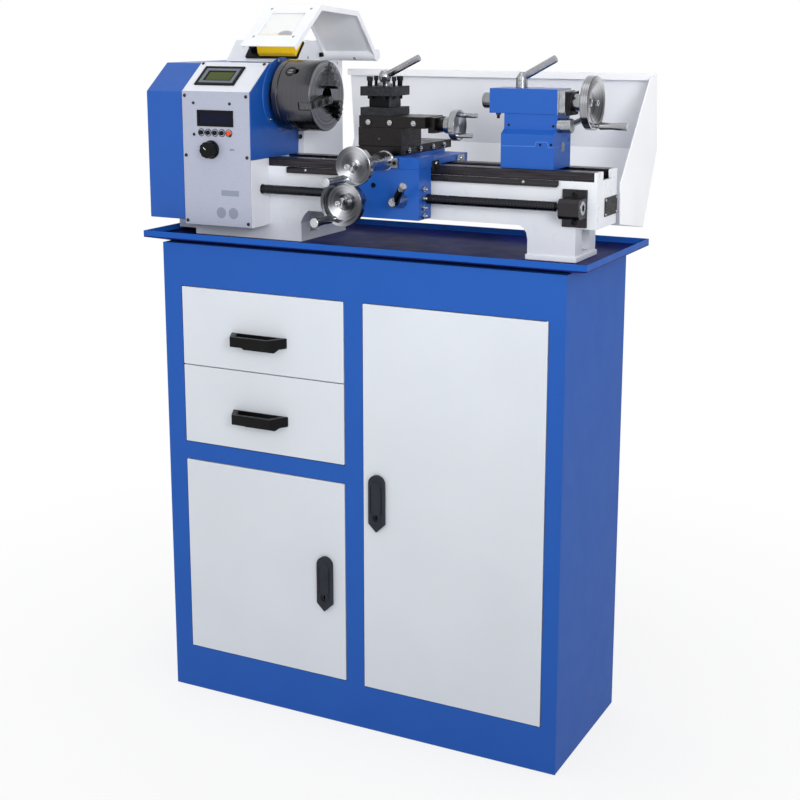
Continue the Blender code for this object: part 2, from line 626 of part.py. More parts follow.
# --------------------------------------------------- electrics box and guard
BOX_E = (HX[0], -211.5)
case_line = [(56.0, 930.0), (56.0, 1182.5), (35.0, 1182.5), (70.0, 1221.5), (145.0, 1221.5), (205.0, 1186.0),
             (205.0, 930.0)]
case = plate("electrics_box", [case_line[::-1]], "YZ", BOX_E[0], BOX_E[1])
case_room = [(58.0, 932.0), (58.0, 1185.0), (48.0, 1185.0), (71.0, 1219.5), (144.5, 1219.5), (203.0, 1184.7),
             (203.0, 932.0)]
cut(case, plate("case_room", [case_room[::-1]], "YZ", BOX_E[0] - 10, BOX_E[1] - 2))
join(case, turned("guard_pivot", [(0.0, 114.0), (6.5, 114.0), (6.5, 7.0), (11.0, 7.0), (11.0, -1.0), (0.0, -1.0)],
                  (BOX_E[1], PIVOT[0], PIVOT[1]), "X", 24))
keep(case, WHITE)

FOLD = [(PIVOT[0] - 3.0, PIVOT[1] + 4.0), (58.5, 1274.0), (-75.5, 1283.5), (-164.0, 1216.0)]
FOLD = FOLD[::-1]


def fold_outline(thick):
    return ring_outline(FOLD, thick)


guard = plate("chuck_guard", [fold_outline(2.0)], "YZ", GUARD_X[0], GUARD_X[1])
hub = rod("guard_tube", (GUARD_X[0], PIVOT[0], PIVOT[1]), "X", 10.8, GUARD_X[1] - GUARD_X[0], 28)
join(guard, plate("guard_flange_l", [fold_outline(9.0)], "YZ", GUARD_X[0], GUARD_X[0] + 2),
     plate("guard_flange_r", [fold_outline(9.0)], "YZ", GUARD_X[1] - 2, GUARD_X[1]), hub)
cut(guard, rod("guard_bore", (GUARD_X[0] - 5, PIVOT[0], PIVOT[1]), "X", 6.9, 112.5, 24))
WIN_X = (-183.0, -115.5)
WIN_A, WIN_B = Vector((-92.2, 1270.8)), Vector((-142.3, 1232.6))
down = (WIN_B - WIN_A).normalized()
out = Vector((down.y, -down.x))


def slab(name, a, b, low, high, x):
    """A flat piece along the window face, from low to high outwards of it."""
    line = [a + out * low, b + out * low, b + out * high, a + out * high]
    return plate(name, [[tuple(p) for p in line]], "YZ", x[0], x[1])


cut(guard, slab("window_hole", WIN_A, WIN_B, -12.0, 12.0, WIN_X))
origin_at(guard, (0.0, PIVOT[0], PIVOT[1]))
keep(guard, WHITE)
FACE_A, FACE_B = Vector(FOLD[1]), Vector(FOLD[0])
face_dir = (FACE_B - FACE_A).normalized()
face_out = Vector((-face_dir.y, face_dir.x))
if face_out.y < 0:
    face_out = -face_out


def on_face(a, b, low, high):
    """Outline between two distances along the window face and two heights on it."""
    pts = [(a, low), (b, low), (b, high), (a, high)]
    return [tuple(FACE_A + face_dir * u + face_out * v) for u, v in pts]


window = plate("guard_window", [on_face(11.0, 98.0, -3.8, -2.0 - GAP)], "YZ", -194.0, -104.5)
origin_at(window, (0.0, PIVOT[0], PIVOT[1]))
keep(window, CLEAR)

# switches on the sloping front of the electrics box
TILT_A, TILT_B = Vector((35.0, 1182.5)), Vector((70.0, 1221.5))
tilt = (TILT_B - TILT_A).normalized()
tilt_out = Vector((-tilt.y, tilt.x))


def on_tilt(pts):
    """(distance up the slope, height off it) to y and z."""
    return [tuple(TILT_A + tilt * u + tilt_out * v) for u, v in pts]


base = plate("switch_base", [on_tilt([(7.0, GAP), (46.0, GAP), (46.0, 6.0), (7.0, 6.0)])], "YZ", -325.0, -212.5)
join(base, plate("switch_boss", [on_tilt([(12.0, 5.0), (42.0, 5.0), (42.0, 11.0), (12.0, 11.0)])], "YZ",
                 -289.0, -224.0))
keep(base, BLACK)
flap_line = on_tilt([(8.0, 6.4), (46.0, 6.4), (46.0, 25.0), (40.0, 33.0), (21.0, 33.0), (8.0, 15.0)])
flap = plate("stop_switch_cover", [flap_line], "YZ", -293.0, -213.0)
cut(flap, plate("flap_room", [on_tilt([(10.5, 3.0), (43.5, 3.0), (43.5, 24.0), (38.8, 30.5), (22.2, 30.5),
                                       (10.5, 14.2)])], "YZ", -290.5, -215.5))
hinge = TILT_A + tilt * 46.0 + tilt_out * 6.4
origin_at(flap, (-253.0, hinge.x, hinge.y))
keep(flap, YELLOW)

dial = turned("selector_knob", [(0.0, 12.0), (8.5, 12.0), (9.5, 11.0), (11.0, GAP), (0.0, GAP)], (0, 0, 0), "Z", 20)
spot = TILT_A + tilt * 26.5 + tilt_out * 6.0
dial.rotation_euler = (math.atan2(-tilt_out.x, tilt_out.y), 0.0, 0.0)
dial.location = Vector((-309.0, spot.x, spot.y)) * MM
keep(dial, BLACK)

# -------------------------------------------------------------- splashback
SPLASH = [(235.0, 1166.0), (249.0, 1031.0), (182.0, 900.0)]
SPLASH_X = (BOX_E[1] + 1.2, 407.5)
splash = plate("splashback", [ring_outline(SPLASH, -2.0)], "YZ", SPLASH_X[0], SPLASH_X[1])
wing = [(235.0, 1166.0), (198.0, 1157.0), (52.5, 989.6), (57.4, 919.5), (182.0, 900.0), (249.0, 1031.0)]
join(splash, plate("splash_wing", [wing], "YZ", SPLASH_X[1] - 2.0, SPLASH_X[1]),
     box("splash_rim", (SPLASH_X[0], SPLASH_X[1] - 1.0), (223.0, 236.5), (1154.0, 1166.0)))
for x in (-120.0, 110.0, 340.0):
    join(splash, box("splash_arm_%d" % int(x), (x - 10, x + 10), (BED_HALF + GAP, 207.5), (945.0, 953.0)))
keep(splash, WHITE)

# ----------------------------------------------------------------- carriage
CX = CARR_X
saddle = box("saddle", CX, (-60.0, CARR_Y[1] - 0.5), (WAY_TOP + GAP, 1027.0))
join(saddle, box("saddle_front", (CX[0] - 0.2, CX[1] + 0.2), (CARR_Y[0], -BED_HALF - GAP), (1013.0, SADDLE_TOP)),
     box("saddle_rear", (CX[0] + 0.5, CX[1] - 0.5), (BED_HALF + GAP, CARR_Y[1]), (998.0, WAY_TOP + 2)),
     box("cross_way", (-18.5, 64.5), (-100.0, CARR_Y[1] - 3), (1026.0, SADDLE_TOP - 0.2)))
cut(saddle, box("screw_trough", (FEED_X - 9.5, FEED_X + 9.5), (-130.0, CARR_Y[1] - 8), (FEED_Z - 8.5, 1040.0)))
keep(saddle, BLUE)

apron = box("apron", CX, (CARR_Y[0], -59.5), APRON_Z)
cut(apron, box("apron_room", (CX[0] + 4, CX[1] - 4), (CARR_Y[0] + 5, -50.0), (APRON_Z[0] + 4, APRON_Z[1] - 4)),
    rod("apron_screw_hole", (CX[0] - 5, SCREW_Y, SCREW_Z), "X", 8.6, 170.0, 24),
    rod("apron_wheel_hole", (WHEEL_X, -115.0, WHEEL_Z), "Y", 6.4, 30.0, 20),
    rod("apron_lever_hole", (74.0, -115.0, 959.5), "Y", 6.4, 30.0, 20))
keep(apron, BLUE)


def crank(name, wheel, radius, length, start, grip_r):
    """A grip that stands off a wheel's rim, parallel to its axis."""
    grip = turned(name, [(0.0, length), (grip_r - 1.0, length), (grip_r, length - 1.0), (grip_r - 1.5, length * 0.5),
                         (grip_r - 0.5, 8.0), (grip_r * 0.55, 4.0), (grip_r * 0.55, -5.0), (0.0, -5.0)],
                  start, wheel, 16)
    return grip


rim_y = -170.0
wheel = turned("carriage_handwheel",
               [(0.0, 1.0), (9.0, 1.0), (9.0, -4.0), (14.0, -9.0), (30.0, -4.0), (34.0, 5.0), (38.5, 5.0),
                (39.5, 4.0), (39.5, -8.0), (38.5, -9.0), (33.0, -9.0), (18.0, -17.0), (12.0, -20.0),
                (12.0, -62.6), (6.0, -62.6), (6.0, -84.0), (0.0, -84.0)],
               (WHEEL_X, rim_y, WHEEL_Z), "-Y", 40)
a = math.radians(238.0)
join(wheel, crank("carriage_grip", "-Y", 30.0, 62.0,
                  (WHEEL_X + 31.5 * math.cos(a), rim_y - 4.0, WHEEL_Z + 31.5 * math.sin(a)), 8.0))
keep(wheel, BRIGHT)

cross = box("cross_slide", SLIDE_X, SLIDE_Y, (SADDLE_TOP + GAP, 1047.0))
keep(cross, IRON)

feed = turned("cross_feed_bracket",
              [(12.0, 96.0), (13.0, 96.0), (15.5, 4.0), (17.0, 3.0), (17.0, GAP), (12.0, GAP)],
              (FEED_X, CARR_Y[0], FEED_Z), "-Y", 28, closed=True)
join(feed, box("feed_flange", (FEED_X + 14.0, FEED_X + 26.0), (CARR_Y[0] - 6.0, CARR_Y[0] - GAP),
               (1015.0, 1031.0)))
keep(feed, STEEL)

FW_Y = -222.0
fwheel = turned("cross_handwheel",
                [(0.0, -1.0), (7.0, -1.0), (7.0, -4.0), (12.0, -6.0), (31.0, -1.0), (32.5, -2.5), (32.5, -12.0),
                 (31.0, -13.5), (24.0, -14.0), (16.0, -18.7), (11.5, -18.7), (11.5, -110.0), (5.0, -110.0),
                 (5.0, -300.0), (0.0, -300.0)], (FEED_X, FW_Y, FEED_Z), "-Y", 36)
a = math.radians(236.0)
join(fwheel, crank("cross_grip", "-Y", 25.0, 66.0,
                   (FEED_X + 25.0 * math.cos(a), FW_Y + 2.0, FEED_Z + 25.0 * math.sin(a)), 7.5))
keep(fwheel, BRIGHT)

# compound and tool post
SWIVEL_Z = (1047.0 + GAP, 1079.2)
swivel = box("compound_base", SLIDE_X, (SLIDE_Y[0], -9.0), SWIVEL_Z)
origin_at(swivel, (23.0, -47.0, SWIVEL_Z[0]))
keep(swivel, IRON)

TOP_Z = (SWIVEL_Z[1] + GAP, 1098.7)
TOP_SCREW = (-50.0, 1084.8)
top = box("top_slide", (-17.0, 108.5), (SLIDE_Y[0], -15.0), TOP_Z)
top_bearing = box("top_bearing", (108.0, 120.0), (-72.0, -28.0), (TOP_Z[0] - 8.0, TOP_Z[1] - 1.0))
join(top, top_bearing, rod("top_collar", (119.0, TOP_SCREW[0], TOP_SCREW[1]), "X", 11.0, 12.0, 24))
cut(top, rod("top_screw_hole", (30.0, TOP_SCREW[0], TOP_SCREW[1]), "X", 4.4, 120.0, 20))
keep(top, IRON)

cw = turned("compound_handwheel",
            [(0.0, 24.0), (7.0, 24.0), (11.0, 24.0), (25.0, 27.0), (26.0, 26.0), (26.0, 15.0), (25.0, 14.0),
             (17.0, 13.0), (15.0, 8.0), (14.0, GAP), (4.0, GAP), (4.0, -86.0), (0.0, -86.0)],
            (131.0, TOP_SCREW[0], TOP_SCREW[1]), "X", 32)
for i, angle in enumerate((58.0, 238.0)):
    a = math.radians(angle)
    join(cw, rod("compound_grip_%d" % i, (150.0, TOP_SCREW[0] + 19 * math.cos(a), TOP_SCREW[1] + 19 * math.sin(a)),
                 "X", 4.0, 34.0, 12))
keep(cw, BRIGHT)

PX, PY = POST
POST_Z = TOP_Z[1] + GAP
post = box("tool_post", (PX - 30, PX + 30), (PY - 34, PY + 34), (POST_Z, POST_Z + 13.5))
join(post, box("post_neck", (PX - 19, PX + 19), (PY - 22, PY + 22), (POST_Z + 12, POST_Z + 34)),
     box("post_head", (PX - 30, PX + 30), (PY - 34, PY + 34), (POST_Z + 33, POST_Z + 48.5)))
for i in range(8):
    side, step = i // 2, i % 2
    along = -13.0 if step else 13.0
    sx, sy = ((along, -27.5), (24.0, along), (-along, 27.5), (-24.0, -along))[side]
    join(post, rod("post_screw_%d" % i, (PX + sx, PY + sy, POST_Z + 27.0), "Z", 2.8, 33.0, 8),
         rod("post_screw_head_%d" % i, (PX + sx, PY + sy, POST_Z + 57.5), "Z", 4.2, 7.5, 8))
cut(post, rod("post_bore", (PX, PY, POST_Z - 5), "Z", 7.4, 70.0, 24))
origin_at(post, (PX, PY, POST_Z))
keep(post, DARK)

stud = turned("tool_clamp_lever",
              [(0.0, 76.0), (6.0, 74.5), (9.5, 70.0), (10.5, 64.0), (9.5, 58.0), (8.0, 56.0), (13.0, 52.0),
               (13.0, 49.0 + GAP), (7.0, 49.0 + GAP), (7.0, 0.5), (0.0, 0.5)], (PX, PY, POST_Z), "Z", 24)
join(stud, bar("tool_lever_bar", [(PX + 2, PY, POST_Z + 66), (PX + 66.0, PY - 2.0, POST_Z + 97.0)], 6.0, 2))
keep(stud, BRIGHT)

nut = turned("half_nut_lever",
             [(0.0, 32.0), (6.5, 32.0), (7.5, 31.0), (12.5, 4.0), (13.0, 3.0), (13.0, GAP), (6.0, GAP),
              (6.0, -21.0), (0.0, -21.0)], (74.0, CARR_Y[0], 959.5), "-Y", 24)
join(nut, bar("half_nut_bar", [(72.0, CARR_Y[0] - 22, 957.0), (101.0, CARR_Y[0] - 44, 990.0)], 6.6, 2))
keep(nut, STEEL)

# ---------------------------------------------------------------- tailstock
tail = plate("tailstock_body",
             [[(TAIL_Y[0], WAY_TOP + GAP), (TAIL_Y[1], WAY_TOP + GAP), (TAIL_Y[1], 1073.0), (28.5, 1081.0),
               (28.5, 1108.0), (-28.5, 1108.0), (-28.5, 1081.0), (TAIL_Y[0], 1073.0)]],
             "YZ", TAIL_X[0], TAIL_X[1])
join(tail, box("barrel", (201.5, 323.5), (-30.0, 30.0), (1106.0, 1147.0)),
     box("tail_flange", (321.5, 333.0), (-24.0, 24.0), (1109.0, 1144.5)),
     box("tail_plate", (332.0, 341.0), (-20.0, 20.0), (1104.5, 1142.5)),
     box("clamp_foot", (240.0, 310.0), (-18.0, 18.0), (984.0, WAY_TOP + 5)))
cut(tail, rod("quill_bore", (190.0, 0.0, AXIS_Z), "X", 13.5 + GAP, 143.0, 32),
    rod("tail_screw_bore", (320.0, 0.0, AXIS_Z), "X", 8.5, 40.0, 24),
    rod("clamp_bore", (306.0, CLAMP_Y, 1088.0), "X", 4.8, 40.0, 20))
keep(tail, BLUE)

quill = turned("tailstock_quill", [(5.5, 115.0), (12.5, 115.0), (13.5, 114.0), (13.5, 1.0), (12.5, 0.0), (6.0, 0.0),
                                   (6.0, 60.0), (5.5, 62.0)], (180.0, 0.0, AXIS_Z), "X", 32, closed=True)
keep(quill, BRIGHT)

tw = turned("tailstock_handwheel",
            [(0.0, 30.0), (6.0, 30.0), (8.0, 27.0), (20.0, 27.0), (36.0, 38.0), (43.5, 38.0), (44.5, 37.0),
             (44.5, 25.0), (43.5, 24.0), (37.0, 24.0), (22.0, 18.0), (15.0, 16.0), (14.0, GAP), (8.0, GAP),
             (8.0, -12.0), (5.0, -12.0), (5.0, -100.0), (0.0, -100.0)], (341.0, 0.0, AXIS_Z), "X", 40)
a = math.radians(266.0)
join(tw, crank("tail_grip", "X", 36.0, 55.0, (380.0, 37.0 * math.cos(a), AXIS_Z + 37.0 * math.sin(a)), 7.0))
keep(tw, BRIGHT)

lock = turned("quill_lock_lever",
              [(0.0, 27.0), (3.0, 26.5), (10.0, 17.0), (10.0, GAP), (0.0, GAP)], (247.0, 0.0, 1147.0), "Z", 24)
join(lock, bar("lock_bar", [(250.0, 0.0, 1165.0), (307.0, 0.0, 1196.0)], 6.5, 2))
keep(lock, BRIGHT)

clamp = turned("tailstock_clamp_lever",
               [(0.0, 24.0), (11.0, 24.0), (12.0, 23.0), (12.0, GAP), (4.5, GAP), (4.5, -15.0), (0.0, -15.0)],
               (TAIL_X[1], CLAMP_Y, 1088.0), "X", 24)
join(clamp, bar("clamp_arm", [(341.0, CLAMP_Y + 2, 1088.5), (350.0, 12.0, 1096.0), (350.0, 44.0, 1124.0),
                              (350.0, 58.0, 1165.0)], 5.0, 2))
keep(clamp, STEEL)
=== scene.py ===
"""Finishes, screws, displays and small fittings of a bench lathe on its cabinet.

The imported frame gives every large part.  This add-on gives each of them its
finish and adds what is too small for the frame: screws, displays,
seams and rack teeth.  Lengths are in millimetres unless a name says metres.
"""
import math

import bmesh
import bpy
from mathutils import Matrix, Vector


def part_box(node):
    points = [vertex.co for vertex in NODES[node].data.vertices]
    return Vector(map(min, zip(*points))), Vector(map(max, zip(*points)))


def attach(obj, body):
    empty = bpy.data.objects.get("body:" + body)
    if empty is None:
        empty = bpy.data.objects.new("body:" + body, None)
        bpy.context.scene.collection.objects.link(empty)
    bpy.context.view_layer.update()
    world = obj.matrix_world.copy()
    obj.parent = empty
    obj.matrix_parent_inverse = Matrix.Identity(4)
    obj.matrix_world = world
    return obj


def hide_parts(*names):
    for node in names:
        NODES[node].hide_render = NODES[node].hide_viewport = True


bl_info = {
    "name": "Bench Lathe Finishes",
    "version": (1, 0, 0),
    "blender": (4, 5, 0),
    "location": "View3D > Sidebar > Lathe",
    "description": "Finishes and small fittings for a bench lathe on a cabinet",
    "category": "Object",
}

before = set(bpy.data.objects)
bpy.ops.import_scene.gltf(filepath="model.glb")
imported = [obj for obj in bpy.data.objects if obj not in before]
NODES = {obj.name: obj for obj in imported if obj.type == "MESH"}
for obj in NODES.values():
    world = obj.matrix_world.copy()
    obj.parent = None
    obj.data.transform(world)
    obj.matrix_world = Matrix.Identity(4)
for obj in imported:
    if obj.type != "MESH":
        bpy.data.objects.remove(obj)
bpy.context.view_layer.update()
MM = 0.001


# ------------------------------------------------------------------ colours
def linear(code):
    """An sRGB hex colour as linear RGBA."""
    parts = [int(code[i:i + 2], 16) / 255.0 for i in (1, 3, 5)]
    steps = [c / 12.92 if c <= 0.04045 else ((c + 0.055) / 1.055) ** 2.4 for c in parts]
    return tuple(steps) + (1.0,)


def put(tree, kind, values=None, feeds=None, **settings):
    """Adds one shader node with its settings, socket values and links."""
    made = tree.nodes.new("ShaderNode" + kind)
    for key, value in settings.items():
        setattr(made, key, value)
    for key, value in (values or {}).items():
        made.inputs[key].default_value = value
    for key, source in (feeds or {}).items():
        tree.links.new(source, made.inputs[key])
    return made


def finish(name, code, rough, metal=0.0, coat=0.0, shine=0.5):
    """A new material: its node tree and its shader, in one colour so far."""
    made = bpy.data.materials.new(name)
    made.use_nodes = True
    shader = made.node_tree.nodes["Principled BSDF"]
    shader.inputs["Base Color"].default_value = linear(code)
    shader.inputs["Roughness"].default_value = rough
    shader.inputs["Metallic"].default_value = metal
    shader.inputs["Coat Weight"].default_value = coat
    shader.inputs["Coat Roughness"].default_value = 0.08
    shader.inputs["Specular IOR Level"].default_value = shine
    made.diffuse_color = linear(code)
    return made, made.node_tree, shader


def grain(tree, size, stretch=(1.0, 1.0, 1.0), detail=2.0):
    """Noise over the part with lumps of a size in mm, drawn out by stretch."""
    place = put(tree, "TexCoord")
    scaled = put(tree, "Mapping", {"Scale": stretch}, {"Vector": place.outputs["Object"]})
    noise = put(tree, "TexNoise", {"Scale": 1.0 / (size * MM), "Detail": detail},
                {"Vector": scaled.outputs["Vector"]})
    return noise.outputs["Fac"]


def ranged(tree, value, low, high, start=0.35, end=0.65):
    """Maps the middle of a pattern's range to low and high."""
    return put(tree, "MapRange", {"From Min": start, "From Max": end, "To Min": low, "To Max": high},
               {"Value": value}).outputs["Result"]


def blended(tree, factor, first, second):
    """A colour between two by a factor: each is an sRGB code or a node's colour."""
    mix = put(tree, "Mix", {}, {"Factor": factor}, data_type="RGBA")
    for socket, colour in ((6, first), (7, second)):
        if isinstance(colour, str):
            mix.inputs[socket].default_value = linear(colour)
        else:
            tree.links.new(colour, mix.inputs[socket])
    return mix.outputs[2]


def mottled(tree, size, code, shade):
    """Two tones of one colour in soft lumps of a size in mm."""
    return blended(tree, ranged(tree, grain(tree, size), 0.0, 1.0), code, shade)


def relief(tree, shader, height, depth, under=None):
    """Raises the surface by a pattern, depth in mm."""
    made = put(tree, "Bump", {"Strength": 1.0, "Distance": depth * MM}, {"Height": height})
    if under:
        tree.links.new(under.outputs["Normal"], made.inputs["Normal"])
    tree.links.new(made.outputs["Normal"], shader.inputs["Normal"])
    return made


def feed(tree, shader, socket, source):
    """Lets a pattern drive one of the shader's sockets."""
    tree.links.new(source, shader.inputs[socket])


def patchy(tree, shader, size, low, high):
    """Roughness that goes from low to high in lumps of a size in mm."""
    feed(tree, shader, "Roughness", ranged(tree, grain(tree, size), low, high))


def distance_from(tree, centre, axis):
    """Distance in metres from a line through centre along axis X, Y or Z."""
    place = put(tree, "TexCoord")
    moved = put(tree, "VectorMath", {1: Vector(centre) * MM}, {0: place.outputs["Object"]}, operation="SUBTRACT")
    keep = [0.0 if letter == axis else 1.0 for letter in "XYZ"]
    flat = put(tree, "VectorMath", {1: keep}, {0: moved.outputs[0]}, operation="MULTIPLY")
    return put(tree, "VectorMath", {}, {0: flat.outputs[0]}, operation="LENGTH").outputs["Value"]


def waves(tree, value, pitch):
    """A sine of a distance in metres, one period for each pitch in mm, from 0 to 1."""
    turns = put(tree, "Math", {1: 2 * math.pi / (pitch * MM)}, {0: value}, operation="MULTIPLY")
    sine = put(tree, "Math", {}, {0: turns.outputs[0]}, operation="SINE")
    return put(tree, "Math", {1: 0.5, 2: 0.5}, {0: sine.outputs[0]}, operation="MULTIPLY_ADD").outputs[0]


def along(tree, axis):
    """The place along an axis, in metres."""
    place = put(tree, "TexCoord")
    return put(tree, "SeparateXYZ", {}, {0: place.outputs["Object"]}).outputs[axis]


def beyond(tree, axis, edge, above=True):
    """1 where the place along an axis is above an edge in mm, else 0."""
    kind = "GREATER_THAN" if above else "LESS_THAN"
    return put(tree, "Math", {1: edge * MM}, {0: along(tree, axis)}, operation=kind).outputs[0]


def both(tree, first, second):
    """The share where two patterns meet."""
    return put(tree, "Math", {}, {0: first, 1: second}, operation="MULTIPLY").outputs[0]


# ---------------------------------------------------------------- materials
def enamel(name, code, shade, rough=0.32):
    """Sprayed machine enamel over filled cast iron: glossy, softly wavy, a little orange peel."""
    made, tree, shader = finish(name, code, rough, coat=0.06, shine=0.3)
    feed(tree, shader, "Base Color", mottled(tree, 90.0, code, shade))
    peel = relief(tree, shader, grain(tree, 2.2), 0.018)
    relief(tree, shader, grain(tree, 28.0, detail=1.0), 0.08, peel)
    patchy(tree, shader, 14.0, rough - 0.04, rough + 0.07)
    return made


def powder_coat(name, code, shade, rough=0.42):
    """Powder-coated sheet steel: an even satin skin with a fine peel 1.5 mm across."""
    made, tree, shader = finish(name, code, rough, shine=0.25)
    feed(tree, shader, "Base Color", mottled(tree, 160.0, code, shade))
    relief(tree, shader, grain(tree, 1.5, detail=3.0), 0.03)
    patchy(tree, shader, 40.0, rough - 0.01, rough + 0.02)
    return made


def ground_iron(name, code, light, stretch, rough=0.3):
    """Ground or planed iron: scratches 0.6 mm apart along the cut, oily patches that shine more."""
    made, tree, shader = finish(name, code, rough, metal=1.0)
    lines = grain(tree, 0.6, stretch, 3.0)
    feed(tree, shader, "Base Color", blended(tree, ranged(tree, lines, 0.0, 1.0), code, light))
    relief(tree, shader, lines, 0.012)
    patchy(tree, shader, 18.0, rough - 0.08, rough + 0.10)
    return made


def cut_rings(tree, centre, axis, pitch):
    """Noise in length and radius alone, so that it draws the rings of a turning tool."""
    flat = put(tree, "CombineXYZ", {}, {"X": distance_from(tree, centre, axis), "Y": along(tree, axis)})
    noise = put(tree, "TexNoise", {"Scale": 1.0 / (pitch * MM), "Detail": 2.0}, {"Vector": flat.outputs[0]})
    return noise.outputs["Fac"]


def painted_light_fan(tree, centre, axis, blades, phase):
    """Painted highlight and shade in broad spokes about an axis, in place of the light that the grooves of a turned
    face spread.
    """
    place = put(tree, "TexCoord")
    moved = put(tree, "VectorMath", {1: Vector(centre) * MM}, {0: place.outputs["Object"]}, operation="SUBTRACT")
    parts = put(tree, "SeparateXYZ", {}, {0: moved.outputs[0]})
    first, second = [letter for letter in "XYZ" if letter != axis]
    angle = put(tree, "Math", {}, {0: parts.outputs[first], 1: parts.outputs[second]}, operation="ARCTAN2")
    turns = put(tree, "Math", {1: float(blades), 2: phase}, {0: angle.outputs[0]}, operation="MULTIPLY_ADD")
    sine = put(tree, "Math", {}, {0: turns.outputs[0]}, operation="SINE")
    return put(tree, "Math", {1: 0.5, 2: 0.5}, {0: sine.outputs[0]}, operation="MULTIPLY_ADD").outputs[0]


def turned_steel(name, code, light, centre, axis, rough=0.2, pitch=1.4, blades=2, phase=0.6):
    """Steel turned in a lathe: rings about its axis, 1.4 mm apart; painted highlights and painted shade in spokes
    on its faces, for the light that fine grooves spread, and a plain mid tone between them on its round sides."""
    made, tree, shader = finish(name, code, rough, metal=1.0)
    rings = cut_rings(tree, centre, axis, pitch)
    painted_light_spokes = painted_light_fan(tree, centre, axis, blades, phase)
    # Painted highlight and shade: spokes on the faces only, a plain mid tone on the round sides.
    narrow_painted_light = put(tree, "Math", {1: 2.0}, {0: painted_light_spokes}, operation="POWER").outputs[0]
    facet = put(tree, "SeparateXYZ", {}, {0: put(tree, "NewGeometry").outputs["Normal"]}).outputs[axis]
    across = put(tree, "Math", {}, {0: facet}, operation="ABSOLUTE").outputs[0]
    share = both(tree, narrow_painted_light, ranged(tree, across, 0.0, 0.85, 0.2, 0.6))
    side = ranged(tree, across, 0.42, 0.0, 0.2, 0.6)
    base = put(tree, "Math", {}, {0: ranged(tree, rings, 0.0, 0.18), 1: side}, operation="ADD").outputs[0]
    tone = put(tree, "Math", {}, {0: base, 1: share}, operation="ADD").outputs[0]
    feed(tree, shader, "Base Color", blended(tree, tone, code, light))
    relief(tree, shader, rings, 0.012)
    feed(tree, shader, "Roughness", ranged(tree, rings, rough - 0.04, rough + 0.06))
    return made


def oxide_steel(name, code, worn_and_highlit, rough=0.42):
    """Black-oxide steel: a dull dark skin, paler along its sharp edges: wear from handling and a painted edge
    highlight.
    """
    made, tree, shader = finish(name, code, rough, metal=0.35, shine=0.16)
    edge = put(tree, "NewGeometry").outputs["Pointiness"]
    # Paler on sharp edges: wear and a painted highlight.
    rubbed_and_highlit = both(tree, ranged(tree, edge, 0.0, 1.0, 0.52, 0.60), grain(tree, 5.0))
    feed(tree, shader, "Base Color", blended(tree, rubbed_and_highlit, code, worn_and_highlit))
    relief(tree, shader, grain(tree, 0.8, detail=3.0), 0.01)
    patchy(tree, shader, 7.0, rough - 0.06, rough + 0.08)
    return made


def moulded_abs(name, code, shade, rough=0.38):
    """Injection-moulded ABS: an even colour with a spark-eroded grain 0.5 mm across."""
    made, tree, shader = finish(name, code, rough, shine=0.14)
    feed(tree, shader, "Base Color", mottled(tree, 30.0, code, shade))
    relief(tree, shader, grain(tree, 0.5), 0.012)
    patchy(tree, shader, 11.0, rough - 0.05, rough + 0.06)
    return made


def bed_iron():
    """Cast bed: white enamel below, and ground ways above a milled edge and short of the end cap."""
    made, tree, shader = finish("enamelled casting with ground ways", "#E4E7EC", 0.35, shine=0.3)
    milled, left, right = 1000.6, -224.0, 396.5     # lower edge and ends of the ground ways
    ways = both(tree, both(tree, beyond(tree, "Z", milled), beyond(tree, "X", right, above=False)),
                beyond(tree, "X", left))
    paint = mottled(tree, 90.0, "#E4E7EC", "#DDE1E8")
    lines = grain(tree, 1.2, (0.02, 1.0, 1.0), 2.0)
    iron = blended(tree, ranged(tree, lines, 0.0, 1.0), "#282629", "#454247")
    feed(tree, shader, "Base Color", blended(tree, ways, paint, iron))
    feed(tree, shader, "Metallic", ways)
    patchy(tree, shader, 16.0, 0.26, 0.40)
    relief(tree, shader, grain(tree, 2.4), 0.03)
    return made


def display_glass(name, code, glow, strength):
    """A liquid-crystal display under clear acrylic: dark or olive film with a faint cell grid 0.6 mm apart, and a
    faint painted glow.
    """
    made, tree, shader = finish(name, code, 0.14, shine=0.15)
    grid = both(tree, waves(tree, along(tree, "X"), 0.6), waves(tree, along(tree, "Z"), 0.6))
    feed(tree, shader, "Base Color", blended(tree, ranged(tree, grid, 0.0, 0.35, 0.0, 1.0), code, glow))
    shader.inputs["Emission Color"].default_value = linear(glow)
    shader.inputs["Emission Strength"].default_value = strength
    return made


def clear_sheet():
    """Polycarbonate window: clear, a little milky, with fine wiping scratches 0.8 mm apart."""
    made, tree, shader = finish("polycarbonate sheet", "#F1F3F2", 0.16)
    shader.inputs["Alpha"].default_value = 0.55
    relief(tree, shader, grain(tree, 0.8, (0.1, 1.0, 1.0)), 0.004)
    patchy(tree, shader, 25.0, 0.10, 0.22)
    return made


def belt_rubber():
    """Vulcanised rubber belt: matt, with a woven back 1 mm across."""
    made, tree, shader = finish("vulcanised rubber", "#1B1B1C", 0.75, shine=0.2)
    weave = both(tree, waves(tree, along(tree, "X"), 1.0), grain(tree, 1.0))
    feed(tree, shader, "Base Color", blended(tree, weave, "#161617", "#2B2A29"))
    relief(tree, shader, weave, 0.05)
    return made


def pale_topped_panel():
    """Anodised aluminium panel, fine brushed across; its slanted top is paler."""
    made, tree, shader = finish("anodised aluminium panel", "#B3B8C6", 0.42, metal=0.2, shine=0.3)
    lines = grain(tree, 0.7, (0.06, 1.0, 1.0), 3.0)
    lower = blended(tree, ranged(tree, lines, 0.0, 1.0), "#A8ADBF", "#AFB3C4")
    fold = 1134.0       # z above which the sheet slants back
    feed(tree, shader, "Base Color", blended(tree, beyond(tree, "Z", fold), lower, "#DFE2EA"))
    relief(tree, shader, lines, 0.008)
    patchy(tree, shader, 22.0, 0.36, 0.48)
    return made


